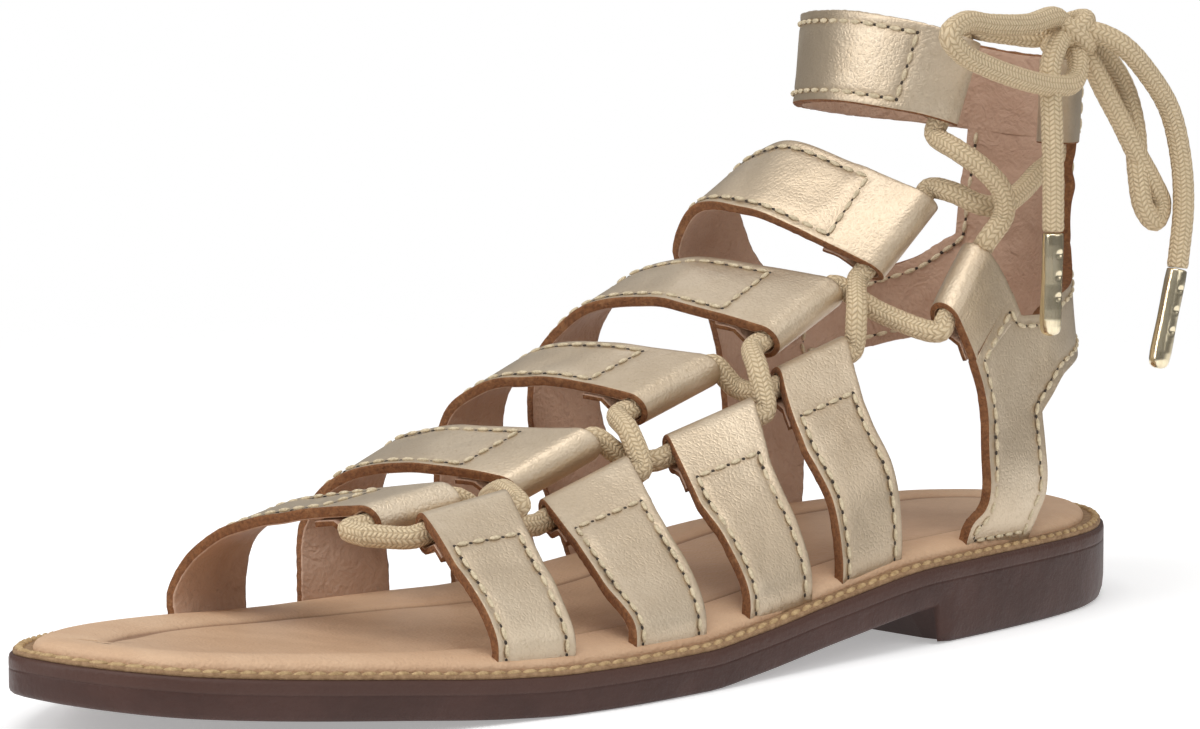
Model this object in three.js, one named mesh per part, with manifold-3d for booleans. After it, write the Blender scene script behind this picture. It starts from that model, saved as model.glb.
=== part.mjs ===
// Left lace-up sandal on a flat sole: millimetres, toe towards -Y, lateral side towards +X, +Z up.
import * as THREE from 'three';
import { mergeVertices } from 'three/addons/utils/BufferGeometryUtils.js';
import Module from 'manifold-3d';

// Driving sizes
const SOLE_LENGTH = 256;
const HEEL_BREAST = 0.7; // share of the length, from the toe
const BREAST_SHARE = 0.0012; // half the slope of the heel breast, as a share of the length
const END_SHARE = 0.998; // keeps the toe and heel ends a short flat instead of a point
const OUTLINE_ROWS = 60;
const SOLE_ROWS = 32;
const SOLE_COLUMNS = 5;
const RING_PARTS = 40;
const FRAME_SHIFT_X = -1.7; // sets the sole's box midway over the origin
const CLEAR = 0.35; // air left between pieces
const STRAP_THICK = 2.0;
const SHEET_STEP = 0.3; // a joined band's faces lie this much inside its neighbour's
const INSOLE_INSET = 7.4;
const INSOLE_THICK = 1.9;
const INSOLE_RIM = 1.0; // padded rim above the insole's middle
const INSOLE_ROWS = 28;
const INSOLE_COLUMNS = 6;
const WELT_WIDTH = 2.8;
const WELT_INSET = 0.6;
const WELT_THICK = 1.0;
const WELT_STEPS = 84;
const WELT_SIDES = 4;
const LOOP_WALL = 1.1;
const LOOP_RADIUS = 3.1; // middle of the folded strap's wall around the lace
const LOOP_REACH = LOOP_RADIUS + LOOP_WALL / 2; // from the hole's middle to the strap's end
const LOOP_TAIL = 9.5; // end of the fold, back from the hole's middle
const LOOP_TAIL_MIDDLE = 5.7;
const LOOP_TURN = 234; // angle of the fold round its hole, in degrees
const LOOP_TURN_STEP = 26;
const LOOP_LEAD = 1.6; // the full thickness ends this far before the hole's middle
const LACE_RADIUS = 1.9;
const LACE_SIDES = 8;
const LACE_PAST = 2.5; // straight run of lace past each end of a loop
const LACE_OVER = 2.4; // rise of the upper strand where two cross
const BAR_BOW = 3; // forward bow of the bar between the first two straps
const STRAND_STEPS = 68;
const KNOT_SIZE = [4.6, 5.2, 5.6];
const KNOT_SIDES = 10;
const KNOT_ROWS = 6;
const AGLET_RADIUS = 1.95;
const AGLET_SIDES = 12;
const ANKLE_Y = 88; // centre of the heel and ankle sections
const FOOT_POINTS = 2; // first points of a strap's edge, whose heights are over the sole's top
const SNAP_FADE = 14; // height over which a leg leaves the heel surface
const NEAR = 0.004; // share either side of a place, for its direction
const LOOP_NEAR = 0.01; // the same, along a strap at its loop
const SAME_PLACE = 1e-4; // corners closer than this are one

// Sole stations: share of the length, half widths, underside height and thickness
const SOLE_STATIONS = [
  { t: 0, lateral: 0, medial: 0, under: 8.0, thick: 6.6 },
  { t: 0.012, lateral: 11.5, medial: 7.5, under: 7.3, thick: 6.8 },
  { t: 0.05, lateral: 24.6, medial: 17.5, under: 6.0, thick: 7 },
  { t: 0.1, lateral: 31.2, medial: 26.0, under: 4.7, thick: 7 },
  { t: 0.2, lateral: 37.6, medial: 35.6, under: 2.3, thick: 7 },
  { t: 0.28, lateral: 41.4, medial: 39.8, under: 0.5, thick: 7 },
  { t: 0.33, lateral: 43.4, medial: 40.8, under: 0, thick: 7 },
  { t: 0.38, lateral: 44.2, medial: 40.4, under: 0, thick: 7 },
  { t: 0.45, lateral: 43.4, medial: 37.4, under: 0, thick: 7.1 },
  { t: 0.5, lateral: 42.0, medial: 34.6, under: 1.0, thick: 7.2 },
  { t: 0.6, lateral: 39.6, medial: 30.4, under: 4.2, thick: 7.4 },
  { t: 0.7, lateral: 37.8, medial: 28.9, under: 6.9, thick: 7.5 },
  { t: 0.8, lateral: 34.8, medial: 29.9, under: 7.2, thick: 7.5 },
  { t: 0.9, lateral: 28.9, medial: 28.3, under: 7.0, thick: 7.5 },
  { t: 0.965, lateral: 18.0, medial: 20.2, under: 6.8, thick: 7.5 },
  { t: 1, lateral: 0, medial: 0, under: 6.7, thick: 7.5 },
];

// Sole sections from the bottom up: share of the height and inset of the outline
const SOLE_LEVELS = [
  { level: 0, inset: 0.9 },
  { level: 0.14, inset: 0 },
  { level: 0.88, inset: 0 },
  { level: 1, inset: 0.5 },
];

// Strap edges on the outside face: front and rear edge points from the sole up to the loop
const STRAPS = [
  {
    name: 'lateral_strap_1', side: 1,
    front: [
      [36.4, -56.3, 0], [36, -56.1, 5.5], [30.4, -55.5, 20.1], [23.2, -54.7, 25.6],
      [16.3, -52.8, 29.8], [9.5, -50.8, 32.9],
    ],
    rear: [
      [38.8, -40.3, 0], [38.4, -40.1, 5.5], [32.9, -39.5, 20.6], [26.5, -38.3, 26.5],
      [19.9, -36.2, 31.6], [13.4, -34.1, 36.1],
    ],
  },
  {
    name: 'lateral_strap_2', side: 1,
    front: [
      [39.4, -27, 0], [38.8, -26.8, 5.5], [30.4, -25.3, 18.3], [21.9, -23.8, 23.9],
      [13.7, -21.6, 28.2], [5.8, -19.3, 31.8],
    ],
    rear: [
      [38.6, -9, 0], [38, -8.8, 6], [31.3, -7, 21.5], [23.9, -6.2, 28], [16.9, -4, 33.5],
      [9.7, -1.8, 38.6],
    ],
  },
  {
    name: 'lateral_strap_3', side: 1,
    front: [
      [37.4, 2.4, 0], [36.8, 2.8, 6], [30.3, 4.3, 22.3], [23.2, 4.2, 29.3], [16, 6.3, 35.5],
      [9, 8.6, 41.3],
    ],
    rear: [
      [36.4, 19.4, 0], [36, 19.6, 6], [31.3, 20.5, 25.7], [25.7, 20.7, 33.3], [20.3, 22.9, 40.5],
      [14.9, 25.3, 47.2],
    ],
  },
  {
    name: 'lateral_strap_4', side: 1,
    front: [
      [35.2, 28, 0], [35, 28.2, 6], [31.8, 28.6, 28.9], [25.7, 28.6, 36.8], [18.8, 31, 44],
      [13, 33.9, 51.7],
    ],
    rear: [
      [33.6, 45.4, 0], [33.8, 45.4, 6], [32.6, 44.6, 32.5], [26.8, 44.7, 40.7], [20.4, 47.1, 48.6],
      [14.7, 49.9, 56.6],
    ],
  },
  {
    name: 'medial_strap_1', side: -1,
    front: [
      [-32.6, -71.8, 0], [-33.6, -71.4, 6.0], [-31, -69.2, 21.6], [-23.9, -67.5, 26.6],
      [-16.5, -65.6, 29.5], [-9.1, -62.9, 31.3], [-1.7, -59.7, 32.4], [5.5, -56.3, 33.1],
    ],
    rear: [
      [-35.6, -53.4, 0], [-36.2, -53, 7], [-35.6, -51.5, 23], [-28.3, -50.4, 28.7],
      [-20.1, -48.8, 31.3], [-10.8, -47, 33.1], [-0.9, -43.9, 34.8], [8.6, -40, 36.3],
    ],
  },
  {
    name: 'medial_strap_2', side: -1,
    front: [
      [-36, -39.8, 0], [-36.6, -39.4, 6.0], [-38, -37.4, 23.6], [-32.6, -35.1, 31.5],
      [-23.8, -32, 34.8], [-15, -28.5, 35.5], [-6.4, -24.6, 35.0], [2.1, -20.7, 33.7],
    ],
    rear: [
      [-34.2, -20.4, 0], [-35.2, -20, 8], [-39, -18.6, 27], [-35, -17.1, 36.8],
      [-26.6, -15.2, 40.1], [-16, -11.9, 41], [-5.2, -8.3, 41.4], [5.7, -4.6, 42.1],
    ],
  },
  {
    name: 'medial_strap_3', side: -1,
    front: [
      [-31.4, -6.6, 0], [-31.6, -7, 6.0], [-34, -8.6, 27.0], [-32.3, -7.9, 40.8],
      [-24.8, -5.1, 47.3], [-14.7, -0.9, 49.1], [-4.7, 3.5, 48.2], [5.2, 8, 46.2],
    ],
    rear: [
      [-28, 11.6, 0], [-29.4, 11, 6], [-35, 8.4, 31], [-34.3, 8.8, 44.6], [-27, 11.2, 52.3],
      [-15.5, 15.2, 54.5], [-4.1, 20, 53.7], [6.9, 25.4, 52.7],
    ],
  },
  {
    name: 'medial_strap_4', side: -1,
    front: [
      [-26.8, 18.6, 0], [-28.6, 17.6, 6.0], [-33, 14.4, 34.0], [-32.9, 15.3, 49.7],
      [-25.8, 19.9, 59.2], [-13, 24.7, 61.9], [-0.4, 29.8, 59.9], [12.1, 35, 56.8],
    ],
    rear: [
      [-24.8, 37, 0], [-27.4, 36, 6], [-33.6, 31.8, 38], [-34.8, 32.3, 53.6], [-29.7, 36.9, 64],
      [-16.6, 41.9, 68.1], [-2.8, 46.9, 67.1], [11.6, 52.2, 65.3],
    ],
  },
];

// Heel and ankle sections by height: half width, lean to the lateral side, depth behind and ahead,
// flare of each side ahead, and power of the rounded section ahead
const ANKLE_STATIONS = [
  { z: 14, half: 27.6, lean: 1.6, back: 28.0, ahead: 125, lateralFlare: 0.12, medialFlare: -0.03, power: 2.4 },
  { z: 30, half: 29.8, lean: 1.2, back: 29.0, ahead: 110, lateralFlare: 0.1, medialFlare: 0, power: 2.4 },
  { z: 45, half: 28.8, lean: 0.6, back: 28.2, ahead: 90, lateralFlare: 0.05, medialFlare: 0, power: 2.4 },
  { z: 60, half: 27.4, lean: 0.2, back: 27.4, ahead: 68, lateralFlare: 0.02, medialFlare: 0, power: 2.4 },
  { z: 75, half: 26.6, lean: 0, back: 29.2, ahead: 50, lateralFlare: 0.01, medialFlare: 0, power: 2.3 },
  { z: 90, half: 26.0, lean: 0, back: 31.6, ahead: 28, lateralFlare: 0, medialFlare: 0, power: 2.1 },
  { z: 100, half: 26.0, lean: 0, back: 32.4, ahead: 26, lateralFlare: 0, medialFlare: 0, power: 2.0 },
  { z: 120, half: 26.0, lean: 0, back: 32.8, ahead: 22, lateralFlare: 0, medialFlare: 0, power: 2.0 },
];

// Heel counter edges by angle from the back: past 90 the figure is 90 plus the distance ahead
// of the ankle's centre
const COUNTER_EDGES = [
  { around: -100, low: 44.6, high: 58.6 },
  { around: -90, low: 45.0, high: 58.2 },
  { around: -75, low: 46.0, high: 60.4 },
  { around: -50, low: 48.2, high: 63.6 },
  { around: -32, low: 49.6, high: 68.6 },
  { around: 0, low: 50.0, high: 72.0 },
  { around: 32, low: 49.6, high: 68.6 },
  { around: 52, low: 48.0, high: 62.6 },
  { around: 74, low: 45.8, high: 60.2 },
  { around: 84, low: 42.2, high: 58.4 },
  { around: 93, low: 37.0, high: 55.2 },
  { around: 99, low: 34.0, high: 50.0 },
];

// Cuff edges by angle from the back: below 0 is round the inside of the ankle, on to its front
const CUFF_EDGES = [
  { around: -244, low: 92.0, high: 108.4 },
  { around: -215, low: 95.6, high: 112.4 },
  { around: -180, low: 97.2, high: 114.2 },
  { around: -120, low: 94.6, high: 112.2 },
  { around: -60, low: 90.6, high: 108.0 },
  { around: 0, low: 87.6, high: 103.8 },
  { around: 66, low: 88.4, high: 104.4 },
];
const COUNTER_START = -100;
const COUNTER_END = 99;
const CUFF_START = -240;
const CUFF_END = 66;
const CUFF_LEAN = 8; // how much further round the front end reaches at its top edge, in degrees
const BACK_STRAP_HALF_ANGLE = 33;
const BACK_STRAP_LOW = 62;
const BACK_STRAP_HIGH = 96;

// Quarter legs: edges from the sole up to the loop, drawn onto the heel surface where snap is 1
const LATERAL_LEG = {
  name: 'lateral_leg', side: 1, snapLow: 200,
  front: [
    [34, 64, 0], [34, 65.6, 5], [34, 69.3, 23], [33.1, 70.4, 32.1], [32.4, 71.4, 42.2],
    [30.7, 70, 49.4], [28.9, 67.5, 56.1], [28.2, 65.3, 60.9],
  ],
  rear: [
    [33, 83.6, 0], [33, 85.8, 5], [32, 87.9, 24], [32, 87.4, 33.1], [31.1, 87.1, 45.4],
    [29.2, 83.5, 57.6], [28.3, 78.9, 66.3], [27.4, 73.9, 72.1],
  ],
};
const MEDIAL_LEG = {
  name: 'medial_leg', side: -1, snapLow: 54,
  front: [
    [-34, 57.4, 0], [-34, 59, 6.0], [-33, 60.4, 30.0], [-31, 58, 46.0], [-29.7, 52.8, 57.0],
    [-28.2, 47, 67.9], [-21, 45.2, 77.3], [-8.6, 47.4, 77.4], [3.8, 52.6, 72.4], [15.2, 59.2, 66.5],
  ],
  rear: [
    [-33, 78, 0], [-33, 80, 6.0], [-32, 82, 32.0], [-30, 79.6, 48.0], [-28.8, 73, 59.1],
    [-28, 65.7, 69.1], [-26.5, 60.6, 80.8], [-13.7, 61.6, 89.3], [2.5, 65.8, 85.4],
    [18.1, 70.3, 80.0],
  ],
};

// Lace between the legs' loops and the cuff's two loops, and on to the knot
const ANKLE_ROUTES = {
  inner: [[18.4, 75, 80.4], [22, 77.6, 78.4], [23.6, 82, 77.8], [23.2, 88, 80], [22, 94, 83]],
  innerTop: [[23.4, 97, 108], [26.6, 94.4, 108.8]],
  outer: [[26.4, 76, 72.4], [28.4, 77.8, 76.6], [28.8, 76.8, 81.2], [26.8, 73.8, 85.4], [22.6, 71.6, 88.6]],
  outerTop: [[20.8, 79, 110.8], [25, 84, 109.8], [27.6, 86.6, 109.4]],
};

// Bow above the lateral side of the ankle: middle of the knot and the middle lines of its cords
const KNOT = [32, 91, 110.4];
const BOW = {
  lace_front_loop: [
    [32, 91, 110.4], [33.4, 86, 113.2], [35.4, 76, 112.3],
    [37, 64, 112.7], [37.9, 56.2, 113.4], [38.4, 51.8, 111.2],
    [38.8, 54.6, 108], [39, 61, 105.4], [39, 70, 102.8],
    [38.3, 79, 101.2], [37.4, 86.4, 101.3], [35.8, 89.8, 104.6],
    [32, 91, 110.4],
  ],
  lace_back_loop: [
    [32, 91, 110.4], [34.4, 94.4, 105.2], [35.8, 97.6, 99],
    [36.8, 101, 93.4], [37.6, 104.8, 87], [38.2, 108.2, 82],
    [38.6, 110.6, 77.4], [38.6, 109, 74.4], [38.2, 106.2, 77],
    [37.4, 105.2, 84], [36.4, 105.4, 92], [35, 103.6, 100],
    [33.6, 98.6, 106.4], [32, 91, 110.4],
  ],
  lace_end_1: [
    [32, 91, 110.4], [34.6, 85.6, 108.6], [36.6, 81.2, 104.4], [38.4, 79.6, 96], [39, 79.5, 86],
    [39, 79.7, 74.2],
  ],
  lace_end_2: [
    [32, 91, 110.4], [36.4, 93.4, 110.4], [39.8, 97.4, 108],
    [41.4, 103, 102.6], [42, 108.8, 95.4], [42.2, 112, 86],
    [42.2, 112.9, 77], [42.2, 111.4, 65.6],
  ],
};
const BOW_STEPS = { lace_front_loop: 22, lace_back_loop: 20, lace_end_1: 8, lace_end_2: 10 };

// Bands: rows along and across, folded ends, and how many sheet steps thinner each is than a strap
const STRAP_BAND = { steps: 12, across: 2, folds: 1 };
const QUARTER_BANDS = {
  lateralLeg: { steps: 14, across: 3, folds: 1 },
  medialLeg: { steps: 20, across: 2, folds: 1 },
  counter: { steps: 24, across: 2, inner: 1 },
  backStrap: { steps: 6, across: 4, inner: 2 },
  cuff: { steps: 36, across: 1, folds: 2 },
};

// Aglets: places of each tip's mouth and of its end, and the profile they share
const AGLETS = [
  { name: 'aglet_1', from: [39, 79.7, 74.2], towards: [38.8, 79.4, 55.8] },
  { name: 'aglet_2', from: [42.2, 111.4, 65.6], towards: [41.8, 106.6, 47.4] },
];
const AGLET_PROFILE = [
  { share: 0, along: 0 },
  { share: 0.94, along: 0 },
  { share: 1, along: 0.5 },
  { share: 1, along: 17.4 },
  { share: 0.8, along: 18.5 },
  { share: 0.4, along: 19 },
  { share: 0, along: 19 },
];

const COLOURS = {
  gold: { color: 0xcbb98f, roughness: 0.38, metalness: 0.55 },
  sole: { color: 0x55392f, roughness: 0.5, metalness: 0 },
  welt: { color: 0xae8552, roughness: 0.75, metalness: 0 },
  insole: { color: 0xc79f7e, roughness: 0.6, metalness: 0 },
  lace: { color: 0xd2b988, roughness: 0.85, metalness: 0 },
  aglet: { color: 0xd9cfa8, roughness: 0.2, metalness: 1 },
};

const wasm = await Module();
wasm.setup();

const vector = (p) => new THREE.Vector3(p[0], p[1], p[2]);
const smooth = (a, b, x) => THREE.MathUtils.smoothstep(x, a, b);

// A value read from a table of rows by a rounded curve that never overshoots its neighbours
function readTable(rows, key, column, at) {
  const last = rows.length - 1;
  if (at <= rows[0][key]) {
    return rows[0][column];
  }
  if (at >= rows[last][key]) {
    return rows[last][column];
  }
  let i = 0;
  while (rows[i + 1][key] < at) {
    i += 1;
  }
  const slope = (j) => (rows[j + 1][column] - rows[j][column]) / (rows[j + 1][key] - rows[j][key]);
  const tangent = (j) => {
    if (j === 0) {
      return slope(0);
    }
    if (j === last) {
      return slope(last - 1);
    }
    const before = slope(j - 1);
    const after = slope(j);
    return before * after <= 0 ? 0 : (2 * before * after) / (before + after);
  };
  const width = rows[i + 1][key] - rows[i][key];
  const x = (at - rows[i][key]) / width;
  const rise = rows[i + 1][column] - rows[i][column];
  const cube = x * x * (3 - 2 * x);
  const leave = x * (1 - x) * (1 - x) * tangent(i) * width;
  const arrive = x * x * (x - 1) * tangent(i + 1) * width;
  return rows[i][column] + rise * cube + leave + arrive;
}

// Sole: half width on a side, underside and top at a station
const station = (y) => y / SOLE_LENGTH + 0.5;

function soleHalfWidth(side, t) {
  const rows = SOLE_STATIONS.map((row) => ({ turn: Math.acos(1 - 2 * row.t), width: row[side] }));
  return readTable(rows, 'turn', 'width', Math.acos(1 - 2 * t));
}

const soleUnder = (t) => readTable(SOLE_STATIONS, 't', 'under', t);
const soleTop = (t) => soleUnder(t) + readTable(SOLE_STATIONS, 't', 'thick', t);

// The sole's outline on one side, moved in by an inset: rows of y and x from toe to heel
function outlineRows(side, inset) {
  const at = (share) => {
    const t = 0.5 - 0.5 * Math.cos(Math.PI * share);
    return new THREE.Vector2(soleHalfWidth(side, t), (t - 0.5) * SOLE_LENGTH);
  };
  const rows = [];
  for (let i = 0; i <= OUTLINE_ROWS; i += 1) {
    const share = i / OUTLINE_ROWS;
    const point = at(share);
    const run = at(Math.min(1, share + NEAR)).sub(at(Math.max(0, share - NEAR))).normalize();
    if (i === 0 || i === OUTLINE_ROWS) {
      run.set(i === 0 ? 1 : -1, 0);
    }
    const row = { y: point.y + run.x * inset, x: Math.max(0, point.x - run.y * inset) };
    if (i === 0 || row.y > rows[rows.length - 1].y + SAME_PLACE) {
      rows.push(row);
    }
  }
  return rows;
}

function widthAt(rows, y) {
  const after = rows.findIndex((row) => row.y >= y);
  if (after <= 0) {
    return after === 0 ? rows[0].x : rows[rows.length - 1].x;
  }
  const [p, q] = [rows[after - 1], rows[after]];
  return THREE.MathUtils.mapLinear(y, p.y, q.y, p.x, q.x);
}

// Position-only geometry with shared corners and its faces pointing out
function tidy(geometry) {
  geometry.deleteAttribute('normal');
  geometry.deleteAttribute('uv');
  const merged = mergeVertices(geometry, SAME_PLACE);
  const p = merged.attributes.position;
  const index = merged.index.array;
  const corner = [new THREE.Vector3(), new THREE.Vector3(), new THREE.Vector3()];
  let volume = 0;
  for (let i = 0; i < index.length; i += 3) {
    corner.forEach((c, k) => c.fromBufferAttribute(p, index[i + k]));
    volume += corner[0].dot(corner[1].cross(corner[2]));
  }
  if (volume < 0) {
    for (let i = 0; i < index.length; i += 3) {
      [index[i + 1], index[i + 2]] = [index[i + 2], index[i + 1]];
    }
  }
  return merged;
}

// A unit box whose corners are carried to new places
function bendBox(along, across, layers, place) {
  const geometry = new THREE.BoxGeometry(1, 1, 1, along, across, layers);
  const p = geometry.attributes.position;
  for (let i = 0; i < p.count; i += 1) {
    const to = place(p.getX(i) + 0.5, p.getY(i) + 0.5, p.getZ(i) + 0.5);
    p.setXYZ(i, to.x, to.y, to.z);
  }
  return tidy(geometry);
}

function joined(geometries) {
  const solids = geometries.map((geometry) => new wasm.Manifold(new wasm.Mesh({
    numProp: 3,
    vertProperties: geometry.attributes.position.array,
    triVerts: new Uint32Array(geometry.index.array),
  })));
  const mesh = solids.reduce((sum, solid) => sum.add(solid)).getMesh();
  const geometry = new THREE.BufferGeometry();
  const places = new Float32Array(mesh.vertProperties);
  geometry.setAttribute('position', new THREE.BufferAttribute(places, mesh.numProp));
  geometry.setIndex(new THREE.BufferAttribute(new Uint32Array(mesh.triVerts), 1));
  return tidy(geometry);
}

// Heel and ankle surface: x of one side at a depth and height, and a point by angle from the back
const ankle = (column, z) => readTable(ANKLE_STATIONS, 'z', column, z);

function heelSide(side, y, z) {
  const ahead = Math.max(0, ANKLE_Y - y);
  const behind = Math.max(0, y - ANKLE_Y);
  const power = ankle('power', z);
  const round = Math.max(0, 1 - (ahead / ankle('ahead', z)) ** power) ** (1 / power);
  const turned = Math.sqrt(Math.max(0, 1 - (behind / ankle('back', z)) ** 2));
  const flare = ankle(side > 0 ? 'lateralFlare' : 'medialFlare', z) * ahead;
  return ankle('lean', z) + side * (ankle('half', z) * round * turned + flare);
}

function heelPoint(around, z) {
  if (Math.abs(around) > 90) {
    const y = ANKLE_Y + 90 - Math.abs(around);
    return new THREE.Vector3(heelSide(Math.sign(around), y, z), y, z);
  }
  const angle = THREE.MathUtils.degToRad(around);
  const x = ankle('lean', z) + ankle('half', z) * Math.sin(angle);
  return new THREE.Vector3(x, ANKLE_Y + ankle('back', z) * Math.cos(angle), z);
}

function anklePoint(around, z) {
  const angle = THREE.MathUtils.degToRad(around);
  const depth = Math.cos(angle) > 0 ? ankle('back', z) : ankle('ahead', z);
  return new THREE.Vector3(ankle('half', z) * Math.sin(angle), ANKLE_Y + depth * Math.cos(angle), z);
}

// Outward normal of a surface given by two shares; the sign tells which way the shares turn
function normalOf(surface, u, v, sign) {
  const along = surface(Math.min(1, u + NEAR), v).sub(surface(Math.max(0, u - NEAR), v));
  const across = surface(u, Math.min(1, v + NEAR)).sub(surface(u, Math.max(0, v - NEAR)));
  return along.cross(across).multiplyScalar(sign).normalize();
}

// Strap face between its front and rear edge curves
function strapFace(strap) {
  const curve = (edge) => {
    const points = edge.map(([x, y, z], i) => {
      const floor = i < FOOT_POINTS ? soleTop(station(y)) + CLEAR : 0;
      return new THREE.Vector3(x, y, floor + z);
    });
    return new THREE.CatmullRomCurve3(points, false, 'centripetal');
  };
  const front = curve(strap.front);
  const rear = curve(strap.rear);
  const face = (u, v) => {
    const point = front.getPointAt(u).lerp(rear.getPointAt(u), v);
    const snap = strap.snapLow ? 1 - smooth(strap.snapLow, strap.snapLow + SNAP_FADE, point.z) : 0;
    point.x = THREE.MathUtils.lerp(point.x, heelSide(strap.side, point.y, point.z), snap);
    return point;
  };
  return { face, sign: -strap.side, length: (front.getLength() + rear.getLength()) / 2 };
}

// Middle line of the fold at a strap's end: distance along the strap from the hole's middle,
// height over the outer face, and thickness
function foldLine() {
  const line = [];
  for (let angle = 0; angle <= LOOP_TURN; angle += LOOP_TURN_STEP) {
    const a = THREE.MathUtils.degToRad(angle);
    const n = LOOP_RADIUS * Math.cos(a) - LOOP_REACH;
    line.push({ s: LOOP_RADIUS * Math.sin(a), n, thick: LOOP_WALL, ring: true });
  }
  const under = { n: -STRAP_THICK - CLEAR - LOOP_WALL / 2, thick: LOOP_WALL };
  line.push({ s: -LOOP_TAIL_MIDDLE, ...under }, { s: -LOOP_TAIL, ...under });
  return line;
}

// Place on the outer face over the middle of a loop's hole, with the directions of the strap and its normal
function loopPlace({ face, sign, length }, v, end) {
  const u = Math.abs(end - LOOP_REACH / length);
  const normal = normalOf(face, u, v, sign);
  const along = face(u + LOOP_NEAR, v).sub(face(u - LOOP_NEAR, v)).multiplyScalar(end > 0 ? 1 : -1);
  along.addScaledVector(normal, -along.dot(normal)).normalize();
  return { origin: face(u, v), along, normal };
}

// Middle of the hole through a loop: across from 0 to 1, then on past the edge
function holeMiddle(strap, v, past, end = 1) {
  const middle = (share) => {
    const { origin, normal } = loopPlace(strap, share, end);
    return origin.addScaledVector(normal, -LOOP_REACH);
  };
  const axis = middle(1).sub(middle(0)).normalize();
  return middle(v).addScaledVector(axis, past);
}

// A band of leather on a face. Its far end, or both ends, can be folded under into a loop,
// and an inner band is thinner by a step on both faces.
function band(strap, { steps, across, folds = 0, inner = 0 }) {
  const { face, sign, length } = strap;
  const thick = STRAP_THICK - 2 * inner * SHEET_STEP;
  const begin = folds > 1 ? LOOP_REACH + LOOP_LEAD : 0;
  const end = length - (folds > 0 ? LOOP_REACH + LOOP_LEAD : 0);
  const line = [];
  for (let i = 0; i <= steps; i += 1) {
    line.push({ s: THREE.MathUtils.lerp(begin, end, i / steps), n: -STRAP_THICK / 2, thick });
  }
  for (let fold = 0; fold < folds; fold += 1) {
    const far = fold === 0;
    const rows = foldLine().map((row) => {
      const s = far ? length - LOOP_REACH + row.s : LOOP_REACH - row.s;
      return { ...row, s, end: far ? 1 : 0, out: row.s };
    });
    line.splice(far ? line.length : 0, 0, ...(far ? rows : rows.reverse()));
  }
  const last = line.length - 1;
  return bendBox(last, across, 1, (a, v, w) => {
    const i = Math.round(a * last);
    const row = line[i];
    const before = line[Math.max(0, i - 1)];
    const after = line[Math.min(last, i + 1)];
    const run = new THREE.Vector2(after.s - before.s, after.n - before.n).normalize();
    const half = (w - 0.5) * row.thick;
    const n = row.n + run.x * half;
    if (row.ring) {
      const { origin, along, normal } = loopPlace(strap, v, row.end);
      const out = row.out - run.y * half * (row.end > 0 ? 1 : -1);
      return origin.addScaledVector(along, out).addScaledVector(normal, n);
    }
    const u = THREE.MathUtils.clamp((row.s - run.y * half) / length, 0, 1);
    return face(u, v).addScaledVector(normalOf(face, u, v, sign), n);
  });
}

function tube(points, steps, radius, sides) {
  const section = new THREE.Shape();
  for (let i = 0; i < sides; i += 1) {
    const angle = (i / sides) * Math.PI * 2;
    const corner = [radius * Math.cos(angle), radius * Math.sin(angle)];
    if (i === 0) {
      section.moveTo(...corner);
    } else {
      section.lineTo(...corner);
    }
  }
  section.closePath();
  const path = new THREE.CatmullRomCurve3(points, false, 'centripetal');
  return tidy(new THREE.ExtrudeGeometry(section, { steps, bevelEnabled: false, extrudePath: path }));
}

// Sole: flat under the ball and the heel, with a square breast at the heel block
function soleStations(count) {
  const list = [];
  for (let i = 0; i <= count; i += 1) {
    list.push(0.5 - 0.5 * Math.cos((Math.PI * i) / count) * END_SHARE);
  }
  const gaps = list.map((t) => Math.abs(t - HEEL_BREAST));
  const nearest = gaps.indexOf(Math.min(...gaps));
  list[nearest] = HEEL_BREAST - BREAST_SHARE;
  list.splice(nearest + 1, 0, HEEL_BREAST + BREAST_SHARE);
  return list;
}

function soleGeometry() {
  const list = soleStations(SOLE_ROWS);
  const layers = SOLE_LEVELS.length - 1;
  const sides = SOLE_LEVELS.map(({ inset }) => [outlineRows('medial', inset), outlineRows('lateral', inset)]);
  return bendBox(SOLE_COLUMNS, list.length - 1, layers, (a, b, c) => {
    const t = list[Math.round(b * (list.length - 1))];
    const layer = Math.round(c * layers);
    const { level, inset } = SOLE_LEVELS[layer];
    const y = (t - 0.5) * (SOLE_LENGTH - 2 * inset);
    const [medial, lateral] = sides[layer].map((rows) => widthAt(rows, y));
    const low = t > HEEL_BREAST ? 0 : soleUnder(t);
    const x = THREE.MathUtils.lerp(-medial, lateral, a);
    return new THREE.Vector3(x, y, THREE.MathUtils.lerp(low, soleTop(t), level));
  });
}

// Insole: a thin padded sheet with a raised rim, inside the strap feet
function insoleGeometry() {
  const medial = outlineRows('medial', INSOLE_INSET);
  const lateral = outlineRows('lateral', INSOLE_INSET);
  return bendBox(INSOLE_COLUMNS, INSOLE_ROWS, 1, (a, b, c) => {
    const y = -Math.cos(Math.PI * b) * END_SHARE * (SOLE_LENGTH / 2 - INSOLE_INSET);
    const x = THREE.MathUtils.lerp(-widthAt(medial, y), widthAt(lateral, y), a);
    const fromSide = Math.min(a, 1 - a) * INSOLE_COLUMNS;
    const inFromEdge = Math.min(fromSide, Math.min(b, 1 - b) * INSOLE_ROWS);
    const rim = inFromEdge < 0.5 ? 0 : INSOLE_RIM * Math.max(0, 2 - inFromEdge);
    return new THREE.Vector3(x, y, soleTop(station(y)) + CLEAR + c * (INSOLE_THICK + rim));
  });
}

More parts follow.
